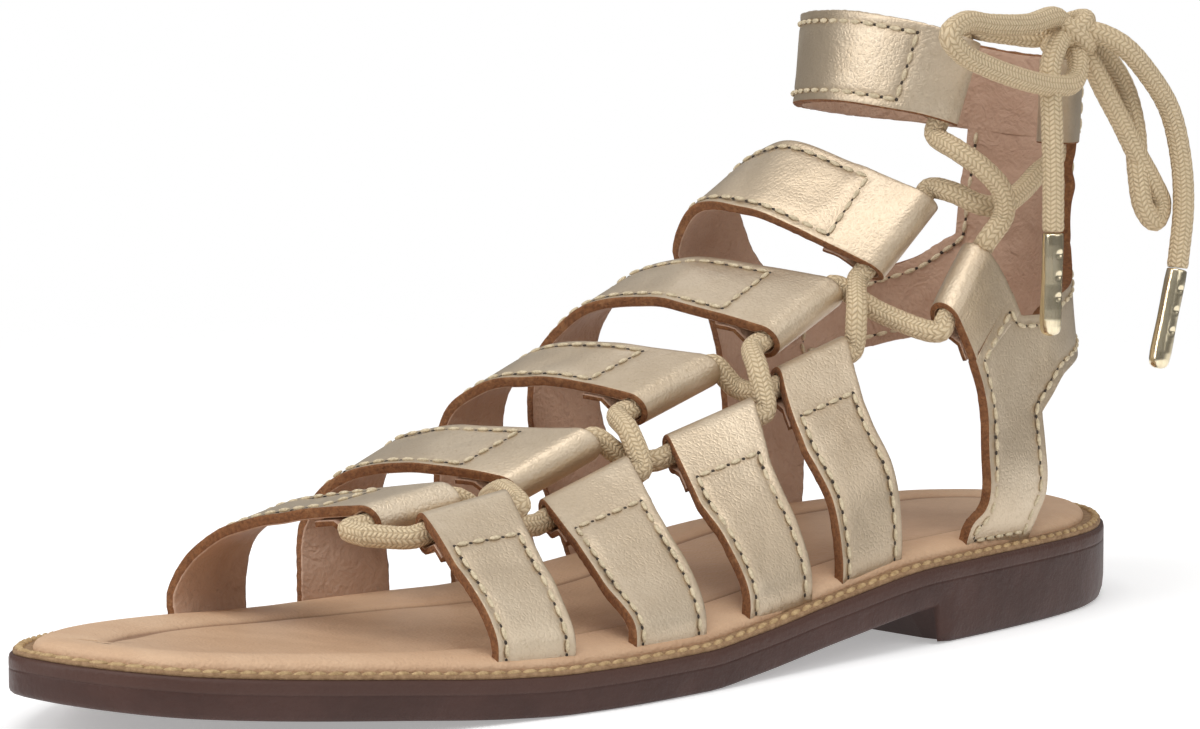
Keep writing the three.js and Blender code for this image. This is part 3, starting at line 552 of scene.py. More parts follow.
# Bow above the lateral side of the ankle: middle of the knot and the middle lines of its cords
knotPlace = [32, 91, 110.4]
bowRoutes = {
    "bowFrontLoop": [
        knotPlace, [33.4, 86, 113.2], [35.4, 76, 112.3], [37, 64, 112.7], [37.9, 56.2, 113.4],
        [38.4, 51.8, 111.2], [38.8, 54.6, 108], [39, 61, 105.4], [39, 70, 102.8], [38.3, 79, 101.2],
        [37.4, 86.4, 101.3], [35.8, 89.8, 104.6], knotPlace,
    ],
    "bowBackLoop": [
        knotPlace, [34.4, 94.4, 105.2], [35.8, 97.6, 99], [36.8, 101, 93.4], [37.6, 104.8, 87],
        [38.2, 108.2, 82], [38.6, 110.6, 77.4], [38.6, 109, 74.4], [38.2, 106.2, 77], [37.4, 105.2, 84],
        [36.4, 105.4, 92], [35, 103.6, 100], [33.6, 98.6, 106.4], knotPlace,
    ],
    "bowEnd1": [
        knotPlace, [34.6, 85.6, 108.6], [36.6, 81.2, 104.4], [38.4, 79.6, 96], [39, 79.5, 86],
        [39, 79.7, 74.2],
    ],
    "bowEnd2": [
        knotPlace, [36.4, 93.4, 110.4], [39.8, 97.4, 108], [41.4, 103, 102.6], [42, 108.8, 95.4],
        [42.2, 112, 86], [42.2, 112.9, 77], [42.2, 111.4, 65.6],
    ],
}
tipSizes = {"length": 19, "radius": 1.95, "gap": 0.35, "sides": 48, "rows": 90, "mouth": 0.5, "shoulder": 1.6,
            "dimple": 0.6, "dimpleDepth": 0.35, "dimples": (0.2, 0.41, 0.62), "dimpleAngle": -0.75,
            "facing": (0.7242, -0.68, 0.1146)}  # the dimples are turned from the way the tip faces
tipEnds = {  # place of the mouth, and a place towards the end
    "aglet_1": ([39, 79.7, 74.2], [38.8, 79.4, 55.8]),
    "aglet_2": ([42.2, 111.4, 65.6], [41.8, 106.6, 47.4]),
}


def laceTip(name, start, towards):
    start = np.array(start, float)
    axis = unit(np.array(towards, float) - start)
    facing = np.array(tipSizes["facing"])
    front = unit(facing - axis * np.dot(facing, axis))
    right = np.cross(axis, front)
    radius, length, sides, rows = (tipSizes[key] for key in ("radius", "length", "sides", "rows"))
    profile = smoothRoute([[0, 0, 0], [radius * 0.93, 0, 0], [radius, tipSizes["mouth"], 0],
                           [radius, length * 0.5, 0], [radius, length - tipSizes["shoulder"], 0],
                           [radius * 0.8, length - 0.5, 0], [radius * 0.35, length, 0], [0, length, 0]], 4)
    line = evenly(profile, np.linspace(0, 1, rows + 1))

    def place(i, j):
        turn = 2 * math.pi * i / sides
        reach, down = line[j, 0].copy(), line[j, 1]
        swing = (turn + math.pi) % (2 * math.pi) - math.pi
        for share in tipSizes["dimples"]:
            away = np.hypot(down - length * share, (swing - tipSizes["dimpleAngle"]) * radius)
            reach -= tipSizes["dimpleDepth"] * np.exp(-(away / tipSizes["dimple"]) ** 4)
        reach = np.maximum(reach, 0)
        arm = front * np.cos(turn)[:, None] + right * np.sin(turn)[:, None]
        return start + axis * (down + tipSizes["gap"])[:, None] + arm * reach[:, None]

    return worn(bendSheet(name + "Tip", sides, rows, place, [tipMetal]), "aglet", name)


tips = {name: laceTip(name, *ends) for name, ends in tipEnds.items()}
bowCords = {name: laceTube(name, points) for name, points in bowRoutes.items()}
bowEnds = {  # what is on the far end, how it lies, and the tip that goes with it
    "bowFrontLoop": ("object", "loose", []),
    "bowBackLoop": ("object", "hanging", []),
    "bowEnd1": ("fitting", "hanging", [tips["aglet_1"]]),
    "bowEnd2": ("fitting", "hanging", [tips["aglet_2"]]),
}
for name, (cord, path) in bowCords.items():
    worn(cord, "lace", "lace_bow")
for name, (farEnd, lay, fittings) in bowEnds.items():
    cord, path = bowCords[name]
    length = float(runOf(path)[-1])
    print(name, round(length / mm, 1), "mm")

# Sole: share of the length, half widths, underside height and thickness
soleStations = [
    (0, 0, 0, 8.0, 6.6), (0.012, 11.5, 7.5, 7.3, 6.8), (0.05, 24.6, 17.5, 6.0, 7), (0.1, 31.2, 26.0, 4.7, 7),
    (0.2, 37.6, 35.6, 2.3, 7), (0.28, 41.4, 39.8, 0.5, 7), (0.33, 43.4, 40.8, 0, 7), (0.38, 44.2, 40.4, 0, 7),
    (0.45, 43.4, 37.4, 0, 7.1), (0.5, 42.0, 34.6, 1.0, 7.2), (0.6, 39.6, 30.4, 4.2, 7.4),
    (0.7, 37.8, 28.9, 6.9, 7.5), (0.8, 34.8, 29.9, 7.2, 7.5), (0.9, 28.9, 28.3, 7.0, 7.5),
    (0.965, 18.0, 20.2, 6.8, 7.5), (1, 0, 0, 6.7, 7.5),
]
soleSizes = {"length": 256, "breast": 0.7, "breastSlope": 0.0012, "around": 260, "rows": 120, "near": 0.004,
             "heelFoot": 0.3, "heelThick": 7.5}  # the heel block takes up the section below heelFoot


def station(y):
    return np.clip(np.asarray(y, float) / soleSizes["length"] + 0.5, 0, 1)


def soleHalfWidth(side, share):
    rows = [(math.acos(1 - 2 * row[0]), row[1], row[2]) for row in soleStations]
    turn = np.arccos(np.clip(1 - 2 * np.asarray(share, float), -1, 1))
    return readTable(rows, 1 if side > 0 else 2, turn)


def soleThick(y):
    return readTable(soleStations, 4, station(y))


def soleTop(y):
    return readTable(soleStations, 3, station(y)) + soleThick(y)


def outline(side, inset):  # y and x of the sole's edge on one side, moved in by an inset
    share = np.linspace(0, 1, soleSizes["rows"] + 1)
    at = lambda s: (soleHalfWidth(side, 0.5 - 0.5 * np.cos(math.pi * s)),
                    -np.cos(math.pi * s) * soleSizes["length"] / 2)
    x, y = at(share)
    ax, ay = at(np.maximum(0, share - soleSizes["near"]))
    bx, by = at(np.minimum(1, share + soleSizes["near"]))
    size = np.hypot(bx - ax, by - ay)
    rx, ry = (bx - ax) / size, (by - ay) / size
    rx[0], ry[0], rx[-1], ry[-1] = 1, 0, -1, 0
    y, x = y + rx * inset, np.maximum(0, x - ry * inset)
    keep = np.concatenate([[True], np.diff(np.maximum.accumulate(y)) > 1e-4])
    return y[keep], x[keep]


class Ring:  # the sole's outline at an inset, by turn: 0 at the toe, 1 at the heel, 2 at the toe again
    def __init__(self, inset):
        self.half = soleSizes["length"] / 2 - inset
        self.sides = {side: outline(side, inset) for side in (1, -1)}

    def at(self, turn):
        y = -np.cos(math.pi * turn) * self.half
        x = np.where(turn <= 1, np.interp(y, *self.sides[1]), -np.interp(y, *self.sides[-1]))
        return x, y


def ringSheet(name, insets, turns, bend, finish, own=None):  # a sheet whose rows run round the sole's outline
    rings = [Ring(inset) for inset in insets]

    def place(i, j):
        points = np.zeros((len(i), 3))
        for row, ring in enumerate(rings):
            k = j == row
            x, y = ring.at(turns[i[k]])
            points[k] = np.stack(bend(row, turns[i[k]], x, y), axis=-1)
        return points

    return bendSheet(name, soleSizes["around"], len(rings) - 1, place, [finish], own=own)


def columnOf(rows, column):
    values = np.array([row[column] for row in rows], float)
    return lambda i, j: values[j]


evenTurns = 2 * np.arange(soleSizes["around"] + 1) / soleSizes["around"]


def soleTurns():  # even turns, with a close pair of them at the heel breast on each side
    half = soleSizes["around"] // 2
    turn = np.linspace(0, 1, half + 1)
    breast = [(soleSizes["breast"] + slope * soleSizes["breastSlope"]) * 2 - 1 for slope in (-1, 1)]
    first = int(np.argmin(np.abs(-np.cos(math.pi * turn) - breast[0])))
    turn[first] = math.acos(-breast[0]) / math.pi
    turn[first + 1] = math.acos(-breast[1]) / math.pi
    return np.concatenate([turn, 2 - turn[-2::-1]])


# Outsole section from the middle of the underside round to the top: inset, share of the height,
# share of the way to the middle
soleSection = [
    (4, 0, 1), (4, 0, 0.5), (4, 0, 0.1), (1.6, 0, 0), (0.7, 0.02, 0), (0.2, 0.07, 0), (0, 0.14, 0),
    (0, 0.4, 0), (0, 0.58, 0), (0.01, 0.61, 0), (0.1, 0.625, 0), (0.1, 0.64, 0), (0.01, 0.655, 0),
    (0, 0.7, 0), (0, 0.86, 0), (0.12, 0.94, 0), (0.5, 0.99, 0), (1.0, 1, 0), (3, 1, 0), (4, 1, 0.1),
    (4, 1, 0.5), (4, 1, 1),
]


def makeOutsole():
    def bend(row, turn, x, y):
        inset, level, share = soleSection[row]
        heel = station(y) > soleSizes["breast"]
        top, foot = soleTop(y), soleSizes["heelFoot"]
        z = top - (1 - level) * soleThick(y)  # the parting line keeps its depth under the top edge
        block = level / foot * (top - (1 - foot) * soleSizes["heelThick"])
        z = np.where(heel & (level <= foot), block, z)
        ground = np.where(heel, 0, readTable(soleStations, 3, station(y)))
        return x * (1 - share), y, np.where(level == 0, ground, z)

    insets = [row[0] for row in soleSection]
    sole = ringSheet("soleUnit", insets, soleTurns(), bend, rubber, own={"level": columnOf(soleSection, 1)})
    return worn(sole, "sole", "outsole")


weltSizes = {"outer": 0.7, "inner": 5.2, "thick": 0.8, "threadInset": 1.75, "threadStep": 3.1,
             "thread": (3.5, 0.62 * 2.1, 0.62 * 2), "threadLift": 0.9, "slant": 16}
weltSection = [  # share across and share of the thickness
    (0, 0.0), (0, 0.7), (0.05, 0.95), (0.14, 1.0), (0.3, 1.0), (0.36, 0.85), (0.44, 0.85), (0.5, 1.0),
    (0.8, 1.0), (1.0, 0.9), (1.0, 0.0), (0.5, 0.0), (0, 0.0),
]


def makeWelt():
    inner, outer = weltSizes["inner"], weltSizes["outer"]
    insets = [outer + (inner - outer) * across for across, lift in weltSection]
    bend = lambda row, turn, x, y: (x, y, soleTop(y) + weltSection[row][1] * weltSizes["thick"])
    return worn(ringSheet("weltStrip", insets, evenTurns, bend, weltLeather), "welt", "welt")


def beads(name, spots, size, finish, segments=(8, 5)):  # small rounded stitches: middle, direction, normal
    bm = bmesh.new()
    for middle, along, normal in spots:
        along = Vector(along).normalized()
        up = (Vector(normal) - along * along.dot(Vector(normal))).normalized()
        turn = Matrix((along, up.cross(along), up)).transposed().to_4x4()
        where = Matrix.Translation((Vector(middle) + Vector((shiftX, 0, 0))) * mm)
        scale = Matrix.Diagonal((size[0] * mm / 2, size[1] * mm / 2, size[2] * mm / 2, 1))
        tip = Matrix.Rotation(math.pi / 2, 4, "Y")
        bmesh.ops.create_uvsphere(bm, u_segments=segments[0], v_segments=segments[1], radius=1,
                                  matrix=where @ turn @ scale @ tip)
    for face in bm.faces:
        face.smooth = True
    return finished(name, bm, [finish])


def makeWeltThread():
    x, y = Ring(weltSizes["threadInset"]).at(np.linspace(0, 2, 4001))
    line = np.stack([x, y, soleTop(y) + weltSizes["thick"] * weltSizes["threadLift"]], axis=-1)
    count = int(runOf(line)[-1] / weltSizes["threadStep"])
    middle = evenly(line, (np.arange(count) + 0.5) / count)
    after = evenly(line, np.minimum(1, (np.arange(count) + 0.6) / count))
    slant = Matrix.Rotation(math.radians(weltSizes["slant"]), 3, "Z")
    spots = [(m, slant @ Vector(a - m), (0, 0, 1)) for m, a in zip(middle, after)]
    return worn(beads("weltStitches", spots, weltSizes["thread"], weltThread), "welt")


# Insole from its outer edge in: distance in from the outline, height over the sole, how far it is the
# middle, and the dark line round the middle
insoleSection = [
    (4.1, 0.2, 0, 0), (4.0, 1.2, 0, 0), (4.4, 1.9, 0, 0), (5.4, 2.5, 0, 0), (7.0, 2.95, 0, 0),
    (9.0, 3.1, 0, 0), (11.5, 3.05, 0, 0), (13.3, 2.8, 0, 0), (14.2, 2.45, 0, 0.2), (14.7, 2.15, 0, 1),
    (15.1, 2.15, 0.5, 1), (15.7, 2.35, 1, 0.1), (17.5, 2.4, 1, 0), (19, 2.4, 1, 0),
]
insoleSizes = {"under": (1.0, 0.5, 0.1), "middle": (0.25, 0.5, 0.75, 1.0), "line": 14.7, "shiftFrom": 8.0,
               "shiftTo": 13.5, "dent": 0.35}
# Dents of the ball, heel and toes: x, y and half sizes
insoleDents = [(3, -62, 17, 20), (1, 84, 14, 17), (-6, -98, 9, 7), (8, -92, 8, 6)]
insoleLine = {  # y and distance in from the outline of the line round the middle, on each side
    1: [(-128, 13), (-110, 13), (-90, 14), (-67, 16.4), (-51, 19), (-20, 20), (20, 17), (60, 14),
        (128, 13.5)],
    -1: [(-128, 15), (-89, 18), (-56, 18), (-34, 21), (-22, 23), (0, 22), (30, 17), (60, 14.7),
         (128, 13.5)],
}


def lineShift(side, y, inset):  # how much further in the line lies at a place along the sole
    further = readTable(insoleLine[side], 1, y) - insoleSizes["line"]
    return side * further * smoothStep(insoleSizes["shiftFrom"], insoleSizes["shiftTo"], inset)


def makeInsole():
    first, final = insoleSection[0], insoleSection[-1]
    rows = [(first[0], first[1], 0, 0, share) for share in insoleSizes["under"]]
    rows += [(*row, 0) for row in insoleSection]
    rows += [(*final, share) for share in insoleSizes["middle"]]

    def bend(row, turn, x, y):
        inset, lift, centre, line, share = rows[row]
        side = np.where(turn <= 1, 1, -1)
        x = x - np.where(side > 0, lineShift(1, y, inset), lineShift(-1, y, inset))
        x = np.where(x * side < 0, 0, x) * (1 - share)
        dents = sum(insoleSizes["dent"] * np.exp(-((x - a) / w) ** 2 - ((y - b) / h) ** 2)
                    for a, b, w, h in insoleDents)
        return x, y, soleTop(y) + lift - dents * (centre > 0)

    bed = ringSheet("footbed", [row[0] for row in rows], evenTurns, bend, footbed,
                    own={"centre": columnOf(rows, 2), "line": columnOf(rows, 3)})
    return worn(bed, "insole", "insole")


makeOutsole()
makeWelt()
makeWeltThread()
makeInsole()
print("sole, welt and insole are made")


# Heel and ankle sections by height
ankleCentre = 88
ankleColumns = ["height", "half", "lean", "back", "ahead", "lateral", "medial", "power"]
ankleStations = [
    (14, 27.6, 1.6, 28.0, 125, 0.12, -0.03, 2.4), (30, 29.8, 1.2, 29.0, 110, 0.1, 0, 2.4),
    (45, 28.8, 0.6, 28.2, 90, 0.05, 0, 2.4), (60, 27.4, 0.2, 27.4, 68, 0.02, 0, 2.4),
    (75, 26.6, 0, 29.2, 50, 0.01, 0, 2.3), (90, 26.0, 0, 31.6, 28, 0, 0, 2.1),
    (100, 26.0, 0, 32.4, 26, 0, 0, 2.0), (120, 26.0, 0, 32.8, 22, 0, 0, 2.0),
]


def ankle(column, z):
    return readTable(ankleStations, ankleColumns.index(column), z)


def heelSide(side, y, z):
    ahead, behind = np.maximum(0, ankleCentre - y), np.maximum(0, y - ankleCentre)
    power = ankle("power", z)
    bend = np.maximum(0, 1 - (ahead / ankle("ahead", z)) ** power) ** (1 / power)
    turned = np.sqrt(np.maximum(0, 1 - (behind / ankle("back", z)) ** 2))
    flare = np.where(side > 0, ankle("lateral", z), ankle("medial", z)) * ahead
    return ankle("lean", z) + side * (ankle("half", z) * bend * turned + flare)


def heelPoint(around, z):  # angle from the back; past 90 it is 90 plus the distance ahead of the centre
    around, z = np.broadcast_arrays(np.asarray(around, float), np.asarray(z, float))
    angle = np.radians(np.clip(around, -90, 90))
    ahead = np.abs(around) > 90
    y = np.where(ahead, ankleCentre + 90 - np.abs(around), ankleCentre + ankle("back", z) * np.cos(angle))
    side = heelSide(np.sign(around), y, z)
    x = np.where(ahead, side, ankle("lean", z) + ankle("half", z) * np.sin(angle))
    return np.stack([x, y, z], axis=-1)


def anklePoint(around, z):
    around, z = np.broadcast_arrays(np.asarray(around, float), np.asarray(z, float))
    angle = np.radians(around)
    depth = np.where(np.cos(angle) > 0, ankle("back", z), ankle("ahead", z))
    return np.stack([ankle("half", z) * np.sin(angle), ankleCentre + depth * np.cos(angle), z], axis=-1)


strapSizes = {
    "thick": 2.0, "wall": 1.1, "radius": 3.1, "tail": 9.5, "lead": 1.6, "step": 0.9, "leastSteps": 24,
    "stitchIn": 2.0, "seamBack": 13.2, "foot": 2.0, "stitchStep": 2.9, "stitchLength": 2.4,
    "stitchThick": 0.72, "stitchReach": 0.3, "stitchLift": 0.2, "holeLift": -0.05, "foldTurn": 235,
    "foldStep": 13, "seamPast": 0.5, "seamSide": 0.4, "unsewn": 9.0,
    "stitchSink": 0.7, "channel": 0.2, "channelWide": 0.75, "rough": 0.07, "snapFade": 14, "near": 0.004,
    "loopNear": 0.01, "footPoints": 2,  # the first points of an edge have heights over the sole
}
loopReach = strapSizes["radius"] + strapSizes["wall"] / 2


class StrapFace:  # outer face of a strap between its front and rear edges, by shares along and across
    def __init__(self, side, front, rear, snapLow=None):
        self.side, self.sign, self.snapLow = side, -side, snapLow
        self.edges = []
        for edge in (front, rear):
            feet = [soleTop(y) + clear if k < strapSizes["footPoints"] else 0
                    for k, (x, y, z) in enumerate(edge)]
            self.edges.append(smoothRoute([[x, y, z + foot] for (x, y, z), foot in zip(edge, feet)]))
        self.length = sum(runOf(edge)[-1] for edge in self.edges) / 2
        middle = np.linspace(0.1, 0.9, 9)
        gap = evenly(self.edges[0], middle) - evenly(self.edges[1], middle)
        self.width = float(np.mean(np.linalg.norm(gap, axis=1)))

    def at(self, u, v):
        u, v = np.broadcast_arrays(np.asarray(u, float), np.asarray(v, float))
        point = evenly(self.edges[0], u) * (1 - v[..., None]) + evenly(self.edges[1], u) * v[..., None]
        if self.snapLow is not None:
            snap = 1 - smoothStep(self.snapLow, self.snapLow + strapSizes["snapFade"], point[..., 2])
            x = heelSide(self.side, point[..., 1], point[..., 2])
            point[..., 0] = point[..., 0] * (1 - snap) + x * snap
        return point


class RingFace:  # outer face of a band round the ankle
    def __init__(self, point, start, end, edges, lean=0):
        self.point, self.start, self.end = point, start, end
        self.edgeRows, self.lean, self.sign = edges, lean, -1
        middle = self.at(np.linspace(0, 1, 41), np.full(41, 0.5))
        self.length = float(runOf(middle)[-1])
        self.width = float(np.mean([row[2] - row[1] for row in edges]))

    def at(self, u, v):
        u, v = np.broadcast_arrays(np.asarray(u, float), np.asarray(v, float))
        start = self.start + self.lean * (0.5 - v)
        around = start + (self.end - start) * u
        low, high = readTable(self.edgeRows, 1, around), readTable(self.edgeRows, 2, around)
        return self.point(around, low + (high - low) * v)


def normalOf(face, u, v):
    e = strapSizes["near"]
    u, v = np.broadcast_arrays(np.asarray(u, float), np.asarray(v, float))
    a = face.at(np.minimum(1, u + e), v) - face.at(np.maximum(0, u - e), v)
    b = face.at(u, np.minimum(1, v + e)) - face.at(u, np.maximum(0, v - e))
    return unit(np.cross(a, b) * face.sign)


def loopPlace(face, v, end=1):
    u = np.full(np.shape(v), abs(end - loopReach / face.length))
    normal = normalOf(face, u, v)
    e = strapSizes["loopNear"]
    along = (face.at(u + e, v) - face.at(u - e, v)) * (1 if end > 0 else -1)
    along = unit(along - normal * np.sum(along * normal, axis=-1, keepdims=True))
    return face.at(u, v), along, normal


def holeMiddle(face, v, past=0.0, end=1):
    def middle(share):
        origin, along, normal = loopPlace(face, np.array([share], float), end)
        return (origin - normal * loopReach)[0]
    axis = unit(middle(1) - middle(0))
    return middle(v) + axis * past


def foldLine():  # middle of the folded wall: along, over the face, thickness, and whether round the hole
    wall, radius = strapSizes["wall"], strapSizes["radius"]
    turns = np.radians(np.arange(0, strapSizes["foldTurn"], strapSizes["foldStep"]))
    line = [(radius * math.sin(angle), radius * math.cos(angle) - loopReach, wall, True) for angle in turns]
    under = -strapSizes["thick"] - clear - wall / 2
    line += [(-strapSizes["tail"] * share, under, wall, False) for share in (0.6, 0.75, 0.9, 1.0)]
    return line


sectionSizes = {"near": (0.3, 0.9, 1.4, 1.75, 2.0, 2.25, 2.6, 3.2), "middle": 4.4, "rows": 9,
                "corner": 0.12, "innerCorner": 0.15}


# Round a strap's section: share across, share of the thickness, and 0 face, 1 cut edge or 2 lining
def sectionOf(width):
    near = sectionSizes["near"]
    inside = sectionSizes["middle"] / width
    across = [d / width for d in near] + list(np.linspace(inside, 1 - inside, sectionSizes["rows"])) \
        + [1 - d / width for d in reversed(near)]
    corner, innerCorner = sectionSizes["corner"] / width, sectionSizes["innerCorner"] / width
    face = [(0.0, 0.86, 1), (corner, 0.965, 1)] + [(v, 1.0, 0) for v in across] \
        + [(1 - corner, 0.965, 0), (1.0, 0.86, 1)]
    edge = [(1.0, 0.62, 1), (1.0, 0.38, 1)]
    inner = [(1.0, 0.12, 1), (1 - innerCorner, 0.02, 1)] + [(v, 0.0, 2) for v in across[::-2]] \
        + [(innerCorner, 0.02, 2), (0.0, 0.12, 1)]
    back = [(0.0, 0.38, 1), (0.0, 0.62, 1), (0.0, 0.86, 1)]
    return face + edge + inner + back


jagged = ((0.9, 1.0), (2.7, 0.6))  # waves a millimetre and height of a cut edge's roughness


def strapPiece(name, face, folds=1, creases=()):
    section = sectionOf(face.width)
    share = np.array([row[0] for row in section])
    deep = np.array([row[1] for row in section])
    kind = np.array([row[2] for row in section])
    thick = strapSizes["thick"]
    begin = loopReach + strapSizes["lead"] if folds > 1 else 0
    end = face.length - (loopReach + strapSizes["lead"] if folds else 0)
    steps = max(strapSizes["leastSteps"], int((end - begin) / strapSizes["step"]))
    line = [(s, -thick / 2, thick, False, 0, 0.0) for s in np.linspace(begin, end, steps + 1)]
    fold = foldLine()
    if folds:
        line += [(face.length - loopReach + s, n, t, ring, 1, s) for s, n, t, ring in fold]
    if folds > 1:
        line = [(loopReach - s, n, t, ring, -1, s) for s, n, t, ring in reversed(fold)] + line
    s, n, thickness, ring, which, out = (np.array(column) for column in zip(*line))
    last = len(line) - 1
    before, after = np.maximum(0, np.arange(last + 1) - 1), np.minimum(last, np.arange(last + 1) + 1)
    run = unit(np.stack([s[after] - s[before], n[after] - n[before]], axis=-1))
    jag = np.zeros((2, last + 1))
    for (waves, height), seed in zip(jagged, (face.length, face.width)):
        jag += height * np.array([[noise.noise(Vector((q * waves, edge * 9.0, seed))) for q in s]
                                  for edge in (0, 1)])

    def place(i, j):
        v, half = share[i].copy(), (deep[i] - 0.5) * thickness[j]
        rough = strapSizes["rough"] * 2 / face.width
        v += np.where(v < 0.01, jag[0][j], np.where(v > 0.99, jag[1][j], 0)) * rough * (kind[i] == 1)
        flatN = n[j] + run[j, 0] * half
        pressed = seamOf(i, j)
        dip = strapSizes["channel"] * np.exp(-(pressed / strapSizes["channelWide"]) ** 2)
        flatN -= np.where(kind[i] == 0, dip, 0)
        for at, depth, wide, slant in creases:
            away = (s[j] - at * face.length - slant * (v - 0.5) * face.width) / wide
            flatN += np.where(ring[j], 0, depth * np.exp(-away ** 2))
        u = np.clip((s[j] - run[j, 1] * half) / face.length, 0, 1)
        points = face.at(u, v) + normalOf(face, u, np.clip(v, 0, 1)) * flatN[:, None]
        for end in (1, -1):
            k = ring[j] & (which[j] == end)
            if k.any():
                origin, along, normal = loopPlace(face, np.clip(v[k], 0, 1), 1 if end > 0 else 0)
                reach = out[j][k] - run[j, 1][k] * half[k] * end
                over = n[j][k] + run[j, 0][k] * half[k]
                points[k] = origin + along * reach[:, None] + normal * over[:, None]
        return points

    def edgeOf(i, j):
        return np.minimum(share[i], 1 - share[i]) * face.width

    def seamOf(i, j):
        inMain = ~ring[j] & (np.abs(n[j] + strapSizes["thick"] / 2) < 0.5)
        sides = np.abs(edgeOf(i, j) - strapSizes["stitchIn"])
        lead = strapSizes["seamBack"]
        ends = [face.length - lead] if folds else []
        starts = [lead] if folds > 1 else []
        past, unsewn = strapSizes["seamPast"], strapSizes["unsewn"]
        beyond = (s[j] > ends[0] + past if ends else False) | (s[j] < starts[0] - past if starts else False)
        found = np.where(beyond, unsewn, sides)
        for at in ends + starts:
            inside = edgeOf(i, j) > strapSizes["stitchIn"] - strapSizes["seamSide"]
            found = np.minimum(found, np.where(inside, np.abs(s[j] - at), unsewn))
        return np.where(inMain, found, unsewn)

    flat = lambda i, j: np.stack([share[i] * face.width, s[j]], axis=-1)
    return bendSheet(name, len(section) - 1, last, place, [gold, raw, lining], sheetPlace=flat,
                     faceFinish=lambda i, j: int(kind[i]), own={"seam": seamOf, "edge": edgeOf})


def spotsAlong(line, normals, shares, reach, lift):  # middle, direction and normal of each stitch or hole
    def along(at):
        return evenly(line, np.clip(at, 0, 1))
    up = unit(evenly(normals, shares, runOf(line)))
    ahead = along(shares + reach) - along(shares - reach)
    return list(zip(along(shares) + up * lift, ahead, up))


def stitchRun(line, normals):
    count = max(2, int(runOf(line)[-1] / strapSizes["stitchStep"]))
    reach, lift, holeLift = (strapSizes[key] for key in ("stitchReach", "stitchLift", "holeLift"))
    stitches = spotsAlong(line, normals, (np.arange(count) + 0.5) / count, reach / count, lift)
    return stitches, spotsAlong(line, normals, np.arange(count + 1) / count, reach / count, holeLift)


def strapStitches(name, face, folds=1):
    width, into = face.width, strapSizes["stitchIn"]
    start = strapSizes["seamBack"] if folds > 1 else strapSizes["foot"]
    stop = face.length - strapSizes["seamBack"]
    u = np.linspace(start, stop, 120) / face.length
    rows = [(u, np.full(120, v)) for v in (into / width, 1 - into / width)]
    across = np.linspace(into / width, 1 - into / width, 40)
    rows += [(np.full(40, end / face.length), across) for end in (stop, start)[:folds]]
    stitches, holes = [], []
    for u, v in rows:
        normals = normalOf(face, u, v)
        sunk = strapSizes["channel"] * strapSizes["stitchSink"]
        for spots, found in zip((stitches, holes), stitchRun(face.at(u, v) - normals * sunk, normals)):
            spots += found
    return sewn(name, stitches, holes)


holeSize = (0.8, 0.7, 0.3)


def sewn(name, stitches, holes):
    length, thick = strapSizes["stitchLength"], strapSizes["stitchThick"]
    worn(beads(name + "Stitches", stitches, (length, thick * 1.25, thick), thread), "lace")
    # small dark beads at each needle hole: painted shade where the thread goes into the leather
    worn(beads(name + "HoleShades", holes, holeSize, needleHoleShade, (6, 4)), "lace")


